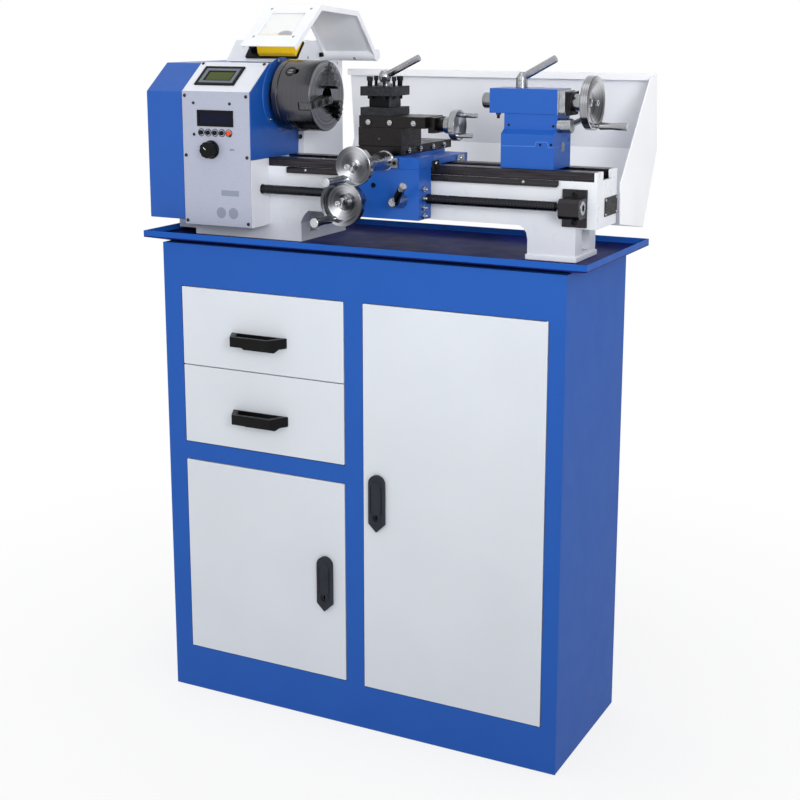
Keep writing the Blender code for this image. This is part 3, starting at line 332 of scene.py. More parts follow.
# ------------------------------------------------------------------- shapes
def dress(names, material, edge=0.6, angle=33.0):
    """Gives frame parts a finish, breaks their edges by edge mm and smooths their curves."""
    for name in names.split():
        node = NODES[name]
        for slot in node.material_slots:
            slot.material = material
        if not node.material_slots:
            node.data.materials.append(material)
        soften(node, edge, angle)


def soften(piece, edge, angle=33.0):
    """Welds, rounds the edges and evens the shading of a piece."""
    normals = piece.data.attributes.get("custom_normal")
    if normals:
        piece.data.attributes.remove(normals)
    piece.data.shade_smooth()
    weld = piece.modifiers.new("weld", "WELD")
    weld.merge_threshold = 0.01 * MM
    flat = piece.modifiers.new("flat faces", "DECIMATE")
    flat.decimate_type = "DISSOLVE"
    flat.angle_limit = math.radians(0.5)
    if edge:
        round_off = piece.modifiers.new("broken edges", "BEVEL")
        round_off.width = edge * MM
        round_off.segments = 2
        round_off.limit_method = "ANGLE"
        round_off.angle_limit = math.radians(angle)
        round_off.harden_normals = True
    even = piece.modifiers.new("even shading", "WEIGHTED_NORMAL")
    even.keep_sharp = False
    even.weight = 60


def facing(point, out, up=(0.0, 0.0, 1.0)):
    """A placing matrix at a point in mm, with local Z along out and local Y near up."""
    z = Vector(out).normalized()
    x = Vector(up).cross(z)
    if x.length < 1e-4:
        x = Vector((1.0, 0.0, 0.0))
    x.normalize()
    y = z.cross(x)
    turn = Matrix((x, y, z)).transposed().to_4x4()
    return Matrix.Translation(Vector(point) * MM) @ turn


HERE = Matrix.Identity(4)


def radial(angle):
    """The direction at an angle in degrees about the X axis."""
    a = math.radians(angle)
    return Vector((0.0, math.cos(a), math.sin(a)))


def lathe(work, place, profile, steps=24):
    """Adds a turned solid: (radius, height) points in mm along the place's Z."""
    loops = []
    for radius, height in profile:
        turns = [2 * math.pi * i / steps for i in range(steps if radius else 1)]
        loops.append([work.verts.new(place @ (Vector((radius * math.cos(a), radius * math.sin(a), height)) * MM))
                      for a in turns])
    for low, high in zip(loops, loops[1:]):
        for i in range(steps):
            j = (i + 1) % steps
            corners = [low[i % len(low)], low[j % len(low)], high[j % len(high)], high[i % len(high)]]
            work.faces.new(list(dict.fromkeys(corners)))


def slab(work, place, outline, low, high):
    """Adds a prism: an outline in mm in the place's XY plane, from low to high along its Z."""
    rings = [[work.verts.new(place @ (Vector((x, y, z)) * MM)) for x, y in outline] for z in (low, high)]
    work.faces.new(rings[0][::-1])
    work.faces.new(rings[1])
    for i in range(len(outline)):
        j = (i + 1) % len(outline)
        work.faces.new((rings[0][i], rings[0][j], rings[1][j], rings[1][i]))


def block(work, x, y, z):
    """Adds a box between two values in mm on each axis."""
    slab(work, HERE, [(x[0], y[0]), (x[1], y[0]), (x[1], y[1]), (x[0], y[1])], z[0], z[1])


def rectangle(width, height):
    """An outline in mm about its middle."""
    x, y = width / 2, height / 2
    return [(-x, -y), (x, -y), (x, y), (-x, y)]


def frame_ring(work, place, outer, inner, low, high):
    """Adds a rectangular frame: outer and inner are (width, height) in mm."""
    def corners(size, z):
        return [work.verts.new(place @ (Vector((x, y, z)) * MM)) for x, y in rectangle(*size)]
    loops = [corners(outer, low), corners(outer, high), corners(inner, high), corners(inner, low)]
    for a, b in zip(loops, loops[1:] + loops[:1]):
        for i in range(4):
            j = (i + 1) % 4
            work.faces.new((a[i], a[j], b[j], b[i]))


def oval(width, height, steps=12):
    """An upright outline with round ends, in mm, about its middle."""
    radius = width / 2
    half = height / 2 - radius
    points = []
    for centre, start in ((half, 0.0), (-half, 180.0)):
        for i in range(steps + 1):
            a = math.radians(start + 180.0 * i / steps)
            points.append((radius * math.cos(a), centre + radius * math.sin(a)))
    return points


def socket_screw(work, place, radius, height):
    """A cap screw: a cylinder with a broken rim and a round socket."""
    lathe(work, place, [(0, -0.4), (radius, -0.4), (radius, height - 0.5), (radius - 0.5, height),
                        (radius * 0.58, height)], 18)
    lathe(work, place, [(radius * 0.58, height), (radius * 0.52, height - 0.2), (radius * 0.52, height * 0.35),
                        (0, height * 0.3)], 18)


def dome_screw(work, place, radius, height):
    """A pan-head screw with a recess in its top."""
    lathe(work, place, [(0, -0.4), (radius, -0.4), (radius, height * 0.25), (radius * 0.86, height * 0.7),
                        (radius * 0.55, height * 0.95), (radius * 0.32, height), (radius * 0.26, height * 0.45),
                        (0, height * 0.4)], 16)


def hex_nut(work, place, flats, height, hole):
    """A hexagon nut with a stud end inside it."""
    corner = flats / 2 / math.cos(math.pi / 6)
    outline = [(corner * math.cos(math.pi / 3 * i), corner * math.sin(math.pi / 3 * i)) for i in range(6)]
    slab(work, place, outline, -0.3, height)
    lathe(work, place, [(0, height - 0.3), (hole, height - 0.3), (hole, height + 1.2), (hole - 0.6, height + 1.8),
                        (0, height + 1.8)], 16)


def made_piece(name, work, material, body, edge=0.25):
    """Turns a work mesh into a piece that rides on a body of the frame."""
    bmesh.ops.remove_doubles(work, verts=work.verts, dist=0.0005 * MM)
    bmesh.ops.recalc_face_normals(work, faces=work.faces)
    mesh = bpy.data.meshes.new(name)
    work.to_mesh(mesh)
    work.free()
    piece = bpy.data.objects.new(name, mesh)
    bpy.context.scene.collection.objects.link(piece)
    mesh.materials.append(material)
    soften(piece, edge, 40.0)
    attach(piece, body)
    return piece


# --------------------------------------------------------------- properties
class LatheColours(bpy.types.PropertyGroup):
    """Colours of the finishes, as sRGB hex codes."""
    blue: bpy.props.StringProperty(name="Blue", description="Enamel and powder coat of stand and castings",
                                   default="#1B55AB")
    blue_shade: bpy.props.StringProperty(name="Blue shade", description="Second tone of the blue",
                                         default="#1A53A9")
    white: bpy.props.StringProperty(name="White", description="Enamel of the bed, guard and splash guard",
                                    default="#EBEDF2")
    grey: bpy.props.StringProperty(name="Pale grey", description="Powder coat of drawers and doors", default="#D3D8DF")
    # This tone is also the painted highlight on the handwheels' turned faces.
    steel: bpy.props.StringProperty(name="Bright steel", description="Polished handwheels and levers",
                                    default="#C9CBD0")
    yellow: bpy.props.StringProperty(name="Yellow", description="Cover of the stop switch", default="#FFD023")
    orange: bpy.props.StringProperty(name="Orange", description="The stop button on the panel", default="#F0501E")


class LatheSizes(bpy.types.PropertyGroup):
    """Sizes of small fittings."""
    screw: bpy.props.FloatProperty(name="Panel screw", description="Head radius of a panel screw, in mm",
                                   default=3.2, min=1.0, max=8.0)
    rack_pitch: bpy.props.FloatProperty(name="Rack pitch", description="Length of one rack tooth, in mm",
                                        default=4.7, min=2.0, max=20.0)
    edge: bpy.props.FloatProperty(name="Casting edge", description="Rounding of cast edges, in mm",
                                  default=1.6, min=0.2, max=4.0)


def colours():
    """The colours chosen in the sidebar."""
    return bpy.context.scene.lathe_colours


def sizes():
    """The sizes chosen in the sidebar."""
    return bpy.context.scene.lathe_sizes


FINISHES = {}


def stock(key):
    """A finish that several pieces share, made when it is first asked for."""
    hue = colours()
    makers = {
        "blue": lambda: enamel("machine enamel blue", hue.blue, hue.blue_shade),
        "sheet": lambda: powder_coat("powder-coated steel blue", hue.blue, hue.blue_shade, 0.58),
        "white": lambda: enamel("machine enamel white", hue.white, "#E4E7EE", 0.36),
        "grey": lambda: powder_coat("powder-coated steel grey", hue.grey, "#D0D5DC", 0.5),
        "iron": lambda: ground_iron("ground cast iron", "#262527", "#454345", (1.0, 0.04, 1.0), 0.34),
        "pale iron": lambda: ground_iron("planed cast iron", "#222121", "#383535", (1.0, 0.04, 1.0), 0.34),
        "steel": lambda: ground_iron("bright drawn steel", "#85878C", "#B2B4B9", (0.05, 1.0, 1.0), 0.24),
        "oxide": lambda: oxide_steel("black-oxide steel", "#121317", "#6B6C70"),
        "zinc": lambda: ground_iron("zinc-plated steel", "#8D8F94", "#CDCFD3", (1.0, 1.0, 1.0), 0.22),
        "black": lambda: moulded_abs("moulded ABS black", "#08080A", "#0E0E11"),
        "felt": lambda: belt_rubber(),
    }
    if key not in FINISHES:
        FINISHES[key] = makers[key]()
    return FINISHES[key]


# ----------------------------------------------------------------- fittings
SLOTS = {"blue": "blue_paint", "sheet": "blue_paint", "white": "white_paint", "grey": "light_grey_powder",
         "black": "black_plastic", "felt": "black_plastic"}
SPINDLE_Z = 1125.0          # height of the spindle axis, which is at y = 0
BOX_END = -211.5            # x of the right end of headstock and electrics box
FRONT = (0, -1, 0)
BACK = (0, 1, 0)
RIGHT = (1, 0, 0)


def span(node):
    """Lowest and highest corner of a frame node, in mm."""
    return [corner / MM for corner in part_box(node)]


def fitting(name, work, look, body="stand", edge=0.1, slot=None):
    """A small piece: look is the key of a stock finish, or a material."""
    if isinstance(look, str):
        slot = slot or SLOTS.get(look, "ground_steel")
        look = stock(look)
    return made_piece(name, work, look, body, edge)


def screws(name, points, out, radius, height, look="zinc", body="stand", edge=0.1, head=dome_screw):
    """Like screws that face one way, as one piece."""
    work = bmesh.new()
    for point in points:
        head(work, facing(point, out), radius, height)
    return fitting(name, work, look, body, edge)


def turned(name, place, profile, steps, look, body="stand", edge=0.1, slot=None):
    """One fitting turned in a lathe."""
    work = bmesh.new()
    lathe(work, place, profile, steps)
    return fitting(name, work, look, body, edge, slot)


def cut_plate(name, place, outline, low, high, look, body="stand", edge=0.0, slot=None):
    """One flat fitting cut to an outline."""
    work = bmesh.new()
    slab(work, place, outline, low, high)
    return fitting(name, work, look, body, edge, slot)


def bezel(name, place, outer, inner, height, look, edge, slot=None):
    """One rectangular frame round a display."""
    work = bmesh.new()
    frame_ring(work, place, outer, inner, -0.3, height)
    return fitting(name, work, look, edge=edge, slot=slot)


def strip(name, x, y, z, look, body, edge):
    """One rectangular fitting between two values on each axis."""
    work = bmesh.new()
    block(work, x, y, z)
    return fitting(name, work, look, body, edge)


def louvres(name, x, y, rows, proud, height, look, edge):
    """Louvres in a back sheet at y, one at each height of rows."""
    work = bmesh.new()
    for z in rows:
        block(work, x, (y - 0.3, y + proud), (z, z + height))
    return fitting(name, work, look, edge=edge)


# ---------------------------------------------------------------- operators
class LATHE_OT_cabinet(bpy.types.Operator):
    """Stand: powder-coated shell, drawers, doors, pulls and latches"""
    bl_idname = "lathe.cabinet"
    bl_label = "Cabinet"

    def execute(self, context):
        dress("cabinet_shell cabinet_front_frame cabinet_divider", stock("sheet"), 0.8)
        dress("upper_drawer lower_drawer door_left door_right", stock("grey"), 0.9)
        dress("upper_drawer_pull lower_drawer_pull", stock("black"), 2.2)
        zamak = moulded_abs("painted zinc die casting", "#2C2F37", "#262931", 0.36)
        dress("latch_plate_left latch_plate_right", zamak, 1.2)
        dress("latch_cam_left latch_cam_right", stock("oxide"), 0.3)
        self.pull_screws()
        for side in ("left", "right"):
            self.latch(side, zamak)
        for side in ("left", "right"):
            self.door_channel(side)
        self.back_sheet()
        return {"FINISHED"}

    def back_sheet(self):
        """Screws along the edges of the back sheet, and its louvres."""
        low, high = span("cabinet_shell")
        points = [(x, high.y, z) for x in (low.x + 18.0, 0.0, high.x - 18.0) for z in (30.0, 290.0, 560.0, 835.0)]
        screws("cabinet_back_screws", points, BACK, 3.8, 2.0)
        rows = [700.0 + 11.0 * k for k in range(9)]
        louvres("cabinet_back_louvres", (-70.0, 70.0), high.y, rows, 1.6, 4.4, "sheet", 0.9)

    def pull_screws(self):
        """Screws behind a drawer's front that hold its pull."""
        for side in ("upper", "lower"):
            low, high = span(side + "_drawer_pull")
            z = (low.z + high.z) / 2 + 5.5
            screws(side + "_pull_screws", [(low.x + 9.0, -132.5, z), (high.x - 9.0, -132.5, z)], BACK, 3.6, 2.2,
                   body=side + "_drawer", edge=0.25)

    def latch(self, side, zamak):
        """Raised paddle on a latch plate, and the collar of its turning cam."""
        low, high = span("latch_plate_" + side)
        x = (low.x + high.x) / 2
        body = side + "_door"
        cut_plate("latch_paddle_" + side, facing((x, low.y, high.z - 41.0), FRONT), oval(18.0, 62.0), -0.3, 0.9,
                  zamak, body, 0.6, "latch_grey")
        turned("latch_collar_" + side, facing((x, low.y, low.z + 27.0), FRONT),
               [(6.6, -0.3), (9.4, -0.3), (9.4, 1.1), (8.6, 1.6), (6.6, 1.6), (6.6, -0.3)], 28,
               zamak, body, 0.2, "latch_grey")

    def door_channel(self, side):
        """A folded channel behind a door, as sheet doors have."""
        low, high = span("door_" + side)
        x = (low.x + high.x) / 2
        strip("door_channel_" + side, (x - 22, x + 22), (low.y + 2.1, low.y + 10.0), (low.z + 40, high.z - 40),
              "grey", side + "_door", 1.0)


class LATHE_OT_tray(bpy.types.Operator):
    """Chip tray with its floor painted darker as shade"""
    bl_idname = "lathe.tray"
    bl_label = "Chip tray"
    floor_top = 873.0       # below this z lies the floor

    def execute(self, context):
        hue = colours()
        made, tree, shader = finish("powder-coated tray", hue.blue, 0.45, shine=0.12)
        # The floor, below floor_top, is painted darker than the rim: painted shade, so it reads deeper.
        painted_shade_floor = mottled(tree, 60.0, "#0C1450", "#101C68")
        floor = beyond(tree, "Z", self.floor_top, above=False)
        feed(tree, shader, "Base Color", blended(tree, floor, hue.blue, painted_shade_floor))
        relief(tree, shader, grain(tree, 1.5), 0.012)
        patchy(tree, shader, 35.0, 0.44, 0.50)
        dress("chip_tray", made, 0.5)
        return {"FINISHED"}


class LATHE_OT_bed(bpy.types.Operator):
    """Bed with ground ways, rack, end plate and leadscrew bearing"""
    bl_idname = "lathe.bed"
    bl_label = "Bed"
    foot_x = (282.0, 366.5)     # sides of the casting's right foot

    def execute(self, context):
        dress("bed_casting", bed_iron(), 1.4)
        dress("leadscrew_bracket", stock("iron"), 1.0)
        self.rack()
        self.end_plate()
        self.bearing()
        self.feet()
        return {"FINISHED"}

    def rack(self):
        """Rack of fine teeth, in the place of the frame's coarse one."""
        low, high = span("feed_rack")
        count = int((high.x - low.x) / sizes().rack_pitch)
        step = (high.x - low.x) / count
        root = low.z + 2.8
        outline = [(high.x, high.z), (low.x, high.z)]
        for i in range(count):
            x = low.x + i * step
            outline += [(x, root), (x + step * 0.18, low.z), (x + step * 0.50, low.z), (x + step * 0.68, root)]
        outline.append((high.x, root))
        upright = Matrix(((1, 0, 0, 0), (0, 0, -1, 0), (0, 1, 0, 0), (0, 0, 0, 1)))
        piece = cut_plate("rack_teeth", upright, outline, -high.y, -low.y, "iron")
        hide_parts("feed_rack")
        points = [(x, low.y, high.z - 4.0) for x in (low.x + 40.0, (low.x + high.x) / 2, high.x - 60.0)]
        screws("rack_screws", points, FRONT, 2.6, 0.8, head=socket_screw)

    def end_plate(self):
        """Dark vent plate on the bed's end, with a screw at each corner."""
        x = span("bed_casting")[1].x
        work = bmesh.new()
        block(work, (x - 0.4, x + 1.6), (-11.0, 50.0), (940.0, 971.0))
        for i in range(5):
            z = 945.0 + 5.2 * i
            block(work, (x + 1.2, x + 2.2), (-5.0, 44.0), (z, z + 2.0))
        fitting("bed_end_plate", work, "black", edge=0.4)
        screws("bed_end_screws", [(x + 1.6, y, z) for y in (-7.5, 46.5) for z in (943.5, 967.5)], RIGHT, 2.4, 1.2)

    def bearing(self):
        """Cap screws of the leadscrew's bearing, and the ring round the shaft's end."""
        screws("bearing_cap_screws", [(365.0, -55.0, 981.0), (365.0, -55.0, 934.0)], FRONT, 4.6, 3.6, "oxide",
               edge=0.2, head=socket_screw)
        turned("bearing_ring", facing((385.4, -72.0, 960.5), RIGHT),
               [(5.6, -0.3), (11.5, -0.3), (11.5, 0.8), (9.5, 1.4), (5.6, 1.4), (5.6, -0.3)], 28, "zinc", edge=0.2)

    def feet(self):
        """Flared bottom of the casting's right foot, and the bolts of the left one."""
        left, right = self.foot_x[0] - 3.0, self.foot_x[1] + 3.0
        cut_plate("foot_flange", HERE, [(left, -53.0), (right, -53.0), (right, 52.0), (left, 52.0)], 866.4, 876.0,
                  "white", edge=1.6)
        work = bmesh.new()
        for x in (-176.0, -400.0):
            hex_nut(work, facing((x, 96.0, 899.0), (0, 0, 1), BACK), 13.0, 6.0, 4.0)
        fitting("foot_bolts", work, "zinc", edge=0.3)


class LATHE_OT_headstock(bpy.types.Operator):
    """Headstock casting, its covers, cover screws and the ring behind the chuck"""
    bl_idname = "lathe.headstock"
    bl_label = "Headstock"

    def execute(self, context):
        edge = sizes().edge
        dress("gear_cover headstock_cover", stock("blue"), edge)
        dress("headstock_casting", stock("white"), edge)
        dress("motor_pulley spindle", stock("steel"), 0.3)
        self.chuck_recess()
        screws("gear_cover_screws", [(-400.0, 165.0, 1160.0), (-400.0, 165.0, 925.0)], BACK, 3.4, 2.0)
        # A dark plug in the box's end, under the chuck.
        turned("oil_plug", facing((BOX_END, 42.0, 1047.0), RIGHT),
               [(0, -0.3), (4.6, -0.3), (4.6, 2.0), (3.8, 2.8), (2.4, 2.8), (2.2, 1.0), (0, 1.0)], 20, "oxide",
               edge=0.2)
        return {"FINISHED"}

    def chuck_recess(self):
        """Turned ring in the headstock's end, behind the chuck, with the screws of its flange."""
        middle = Vector((span("headstock_cover")[1].x, 0.0, SPINDLE_Z))
        turned("chuck_recess_ring", facing(middle, RIGHT),
               [(56.0, -0.3), (67.5, -0.3), (67.5, 0.3), (66.3, 1.4), (57.2, 1.4), (56.0, 0.3), (56.0, -0.3)], 72,
               "blue", edge=0.2)
        points = [middle + Vector((1.4, 0.0, 0.0)) + radial(angle) * 62.0 for angle in (222.0, 342.0, 102.0)]
        screws("recess_screws", points, RIGHT, 3.4, 3.0, head=socket_screw)


SLANT = ((-110.8, 1133.2), (-43.9, 1183.6))     # foot and head of the panel's slanted part, y and z


def on_slant(x, s):
    """A place on the slanted part, s mm up it."""
    foot, head = Vector(SLANT[0]), Vector(SLANT[1])
    way = (head - foot).normalized()
    y, z = foot + way * s
    return facing((x, y, z), (0.0, -way.y, way.x))


def on_panel(x, z):
    """A place on the panel's upright part."""
    return facing((x, SLANT[0][0], z), FRONT)


class LATHE_OT_displays(bpy.types.Operator):
    """Control panel with its two displays, screws and bare label places"""
    bl_idname = "lathe.displays"
    bl_label = "Panel and displays"

    def execute(self, context):
        self.sheet()
        self.lower_display()
        self.upper_display()
        self.screws()
        self.labels()
        return {"FINISHED"}

    def sheet(self):
        """Folded panel sheet over the headstock's whole front, in the place of the frame's narrower one."""
        low, high = span("headstock_casting")
        front, fold = Vector(SLANT[0]), Vector(SLANT[1])
        way = (fold - front).normalized()
        bottom, thick = 893.5, 1.8
        inner = fold + Vector((way.y, -way.x)) * thick
        outline = [(front.x, bottom), tuple(front), tuple(fold), tuple(inner),
                   (front.x + thick, front.y - 0.8), (front.x + thick, bottom)]
        side = Matrix(((0, 0, 1, 0), (1, 0, 0, 0), (0, 1, 0, 0), (0, 0, 0, 1)))
        piece = cut_plate("panel_sheet", side, outline, low.x + 0.4, high.x - 0.6, pale_topped_panel(), edge=0.5,
                          slot="silver_panel")
        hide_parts("control_panel")

    def lower_display(self):
        """Navy display in a thin black frame."""
        place = on_panel(-295.3, 1086.5)
        bezel("digital_display_frame", place, (77.0, 29.0), (66.0, 19.6), 1.5, "black", 0.5)
        glass = display_glass("display film navy", "#050920", "#0A123C", 0.04)
        cut_plate("digital_display_glass", place, rectangle(66.4, 20.0), -0.2, 0.5, glass, slot="black_plastic")

    def upper_display(self):
        """Olive display in a black housing, with a grey bezel and a black mask inside it."""
        place = on_slant(-305.9, 43.2)
        bezel("counter_housing", place, (84.8, 51.0), (73.0, 40.0), 3.0, "black", 0.8)
        lacquer = powder_coat("bezel lacquer", "#6E7480", "#646A76", 0.4)
        bezel("counter_bezel", place, (73.2, 40.2), (60.0, 28.8), 2.4, lacquer, 0.7, "latch_grey")
        bezel("counter_mask", place, (60.2, 29.0), (53.2, 23.2), 1.2, "black", 0.2)
        glass = display_glass("display film olive", "#3E481B", "#55602C", 0.04)
        cut_plate("counter_glass", place, rectangle(53.6, 23.6), -0.2, 0.6, glass, slot="black_plastic")

    def screws(self):
        """Screws round the panel, smaller ones round the lower display, and two at its head."""
        work = bmesh.new()
        radius = sizes().screw
        for x, z in ((-360.0, 1126.0), (-229.5, 1126.0), (-360.0, 1019.0), (-229.5, 1019.0), (-360.5, 900.5),
                     (-229.5, 900.5)):
            dome_screw(work, on_panel(x, z), radius, 2.0)
        for x in (-341.5, -264.0):
            for z in (1113.0, 1057.0):
                dome_screw(work, on_panel(x, z), radius * 0.9, 1.6)
        for x in (-360.5, -229.5):
            dome_screw(work, on_slant(x, 78.6), radius, 2.0)
        fitting("panel_screws", work, "oxide")

    def labels(self):
        """Bare plates where the panel has stickers of their own."""
        plain = powder_coat("bare vinyl label", "#8E95A6", "#878E9F", 0.5)
        for number, x in enumerate((-287.0, -261.0)):
            turned("round_label_%d" % (number + 1), on_panel(x, 918.0),
                   [(0, -0.2), (10.0, -0.2), (10.0, 0.25), (0, 0.25)], 40, plain, edge=0.0, slot="silver_panel")
        cut_plate("chart_label", on_panel(-267.0, 954.0), rectangle(37.0, 10.0), -0.2, 0.25, plain,
                  slot="silver_panel")


class LATHE_OT_controls(bpy.types.Operator):
    """Buttons, knobs, the selector and the stop switch with its cover"""
    bl_idname = "lathe.controls"
    bl_label = "Controls"

    def execute(self, context):
        hue = colours()
        dress("panel_button_1 panel_button_2 panel_button_3 panel_button_4", stock("black"), 0.4)
        dress("panel_button_5", moulded_abs("moulded ABS orange", hue.orange, "#E64A1C", 0.3), 0.4)
        dress("speed_knob selector_knob", stock("black"), 0.8)
        dress("switch_base", stock("black"), 1.2)
        dress("stop_switch_cover", moulded_abs("moulded ABS yellow", hue.yellow, "#FBC91E", 0.34), 1.6)
        self.knob()
        self.button_rims()
        self.pointer()
        self.cover_screw()
        self.unit_mark()
        return {"FINISHED"}

    def button_rims(self):
        """A thin rim in the panel around each button."""
        work = bmesh.new()
        for number in range(1, 6):
            low, high = span("panel_button_%d" % number)
            bore = (high.x - low.x) / 2 + 0.5
            lathe(work, on_panel((low.x + high.x) / 2, (low.z + high.z) / 2),
                  [(bore, -0.2), (bore + 1.2, -0.2), (bore + 0.9, 0.7), (bore, 0.7), (bore, -0.2)], 28)
        fitting("button_rims", work, "black")

    def knob(self):
        """Fluted speed knob on a round skirt."""
        low, high = span("speed_knob")
        place = on_panel((low.x + high.x) / 2, (low.z + high.z) / 2)
        radius = (high.x - low.x) / 2 + 2.0
        outline = []
        for k in range(96):
            a = 2 * math.pi * k / 96
            reach = radius - 2.0 - 1.1 * max(0.0, math.sin(9 * a)) ** 2
            outline.append((reach * math.cos(a), reach * math.sin(a)))
        work = bmesh.new()
        lathe(work, place, [(0, 0.4), (radius, 0.4), (radius, 3.2), (radius - 0.8, 4.2), (radius - 2.6, 4.6),
                            (0, 4.6)], 48)
        slab(work, place, outline, 4.0, SLANT[0][0] - low.y - 0.2)
        piece = fitting("speed_knob_grip", work, "black", "speed_knob", 0.6)
        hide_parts("speed_knob")

    def pointer(self):
        """White pointer line on the speed knob."""
        low, high = span("speed_knob")
        middle = ((low.x + high.x) / 2, low.y, (low.z + high.z) / 2)
        mark = powder_coat("filled white line", "#E9EAEC", "#DCDDE0", 0.5)
        tip = facing(middle, FRONT) @ Matrix.Rotation(math.radians(52.0), 4, "Z")
        cut_plate("speed_pointer", tip, [(-0.6, 1.5), (0.6, 1.5), (0.6, 7.6), (-0.6, 7.6)], -0.3, 0.15, mark,
                  "speed_knob", slot="silver_panel")

    def cover_screw(self):
        """Screw at the hinge of the yellow cover."""
        low, high = span("stop_switch_cover")
        turned("stop_cover_screw", facing((high.x, (low.y + high.y) / 2 - 3.0, low.z + 20.0), RIGHT),
               [(0, -0.3), (3.4, -0.3), (3.4, 0.6), (2.6, 1.0), (0, 1.0)], 20, "black", "stop_cover")

    def unit_mark(self):
        """The unit of the speed knob's scale."""
        curve = bpy.data.curves.new("speed_unit_letters", "FONT")
        curve.body = "RPM"
        curve.size = 5.2 * MM
        curve.extrude = 0.05 * MM
        curve.align_x = "CENTER"
        text = bpy.data.objects.new("speed_unit", curve)
        bpy.context.scene.collection.objects.link(text)
        bpy.context.view_layer.update()
        mesh = bpy.data.meshes.new_from_object(text.evaluated_get(bpy.context.evaluated_depsgraph_get()))
        bpy.data.objects.remove(text)
        mesh.transform(on_panel(-260.6, 1029.8) @ Matrix.Translation((0.0, 0.0, 0.1 * MM)))
        piece = bpy.data.objects.new("speed_unit_mark", mesh)
        bpy.context.scene.collection.objects.link(piece)
        mesh.materials.clear()
        mesh.materials.append(powder_coat("screen-printed ink", "#3C4150", "#343948", 0.5))
        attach(piece, "stand")


class LATHE_OT_chuck(bpy.types.Operator):
    """Three-jaw chuck: turned body, key sockets, toothed jaws and flange nuts"""
    bl_idname = "lathe.chuck"
    bl_label = "Chuck"
    face_x = -129.4             # right of this lies the body's face
    socket_x = -177.0           # middle of the key sockets
    flat = 62.4                 # from the axis to the flats that the sockets are in

    def execute(self, context):
        middle = (0.0, 0.0, SPINDLE_Z)
        steel = turned_steel("turned steel of the chuck", "#1F1F22", "#76757A", middle, "X", 0.24, blades=3, phase=2.4)
        # The face, right of face_x, is drawn paler than the side.
        tree = steel.node_tree
        shader = tree.nodes["Principled BSDF"]
        side = shader.inputs["Base Color"].links[0].from_socket
        rings = ranged(tree, cut_rings(tree, middle, "X", 1.4), 0.0, 1.0)
        face = blended(tree, rings, "#5C5D60", "#8B8C90")
        feed(tree, shader, "Base Color", blended(tree, beyond(tree, "X", self.face_x), side, face))
        dress("chuck_body", steel, 1.6)
        jaws = ground_iron("hardened ground steel", "#38383A", "#77777A", (1.0, 0.2, 0.2), 0.28)
        dress("chuck_jaw_1 chuck_jaw_2 chuck_jaw_3", jaws, 0.7)
        for number, angle in enumerate((135.0, 255.0, 15.0)):
            self.key_socket(number + 1, radial(angle))
        self.flange_nuts()
        return {"FINISHED"}

    def key_socket(self, number, out):
        """Socket for the chuck key between the jaws: a ring, a black disc as painted shade in its bore, and a zinc
        square as a painted glint in the square hole in its end.
        """
        place = facing(Vector((self.socket_x, 0.0, SPINDLE_Z)) + out * self.flat, out, RIGHT)
        turned("key_socket_%d" % number, place,
               [(6.6, -0.4), (10.8, -0.4), (10.8, 0.55), (9.6, 0.8), (7.6, 0.8), (6.6, 0.2), (6.6, -0.4)], 36,
               "iron", "spindle", 0.15)
        # A black disc stands for the shade in the bore, and a zinc square for a glint in the square hole: painted
        # shade and painted glint.
        turned("key_bore_painted_shade_%d" % number, place, [(0, -0.4), (6.7, -0.4), (6.7, 0.25), (0, 0.25)], 36, "black",
               "spindle", 0.0)
        cut_plate("key_square_painted_glint_%d" % number, place, rectangle(6.8, 6.8), 0.1, 0.45, "zinc", "spindle", 0.1)

    def flange_nuts(self):
        """Nuts on the studs that hold the chuck to the spindle's flange."""
        middle = Vector((span("chuck_body")[0].x + 0.2, 0.0, SPINDLE_Z))
        work = bmesh.new()
        for angle in (45.0, 165.0, 285.0):
            hex_nut(work, facing(middle + radial(angle) * 40.0, (-1, 0, 0)), 11.0, 5.0, 3.4)
        fitting("chuck_flange_nuts", work, "zinc", "spindle", 0.2)


class LATHE_OT_guard(bpy.types.Operator):
    """Hinged chuck guard with its window, screws and pivot"""
    bl_idname = "lathe.guard"
    bl_label = "Chuck guard"
    foot = Vector((-164.0, 1216.0))     # lower and upper edge of its slanted front, y and z
    head = Vector((-75.5, 1283.5))

    def execute(self, context):
        dress("chuck_guard", stock("white"), 0.8)
        dress("guard_window", clear_sheet(), 0.2)
        self.window()
        self.pivot()
        return {"FINISHED"}

    def window(self):
        """Screws at the window's corners, and a bare label on its lower right."""
        way = (self.head - self.foot).normalized()
        out = Vector((0.0, -way.y, way.x))
        rows = [self.foot + way * s for s in (24.0, 100.5)]
        points = [(x, y, z) for x in (-188.5, -109.5) for y, z in rows]
        screws("window_screws", points, out, 2.6, 0.9, body="guard")
        y, z = self.foot + way * 32.5
        arc = [(13.0 * math.cos(math.radians(a)), 9.5 * math.sin(math.radians(a))) for a in range(0, 181, 9)]
        plain = powder_coat("bare vinyl label pale", "#A9ADB6", "#A1A5AE", 0.5)
        cut_plate("window_label", facing((-131.0, y, z), out), arc, -1.5, -0.9, plain, "guard", slot="white_paint")

    def pivot(self):
        """Black clamp at the left end of the guard's tube, and a grub screw at the right."""
        low, high = span("chuck_guard")
        work = bmesh.new()
        lathe(work, facing((low.x - 0.6, 130.0, 1195.0), (-1, 0, 0)),
              [(0, -0.2), (8.4, -0.2), (8.4, 4.5), (7.0, 6.0), (0, 6.0)], 32)
        block(work, (low.x - 5.6, low.x - 1.0), (112.0, 128.0), (1191.0, 1199.0))
        fitting("guard_clamp", work, "black", "guard", 0.8)
        screws("guard_grub_screw", [(high.x - 44.0, 122.6, 1189.0)], (0, -0.78, -0.62), 3.0, 1.6, "oxide", "guard",
               head=socket_screw)


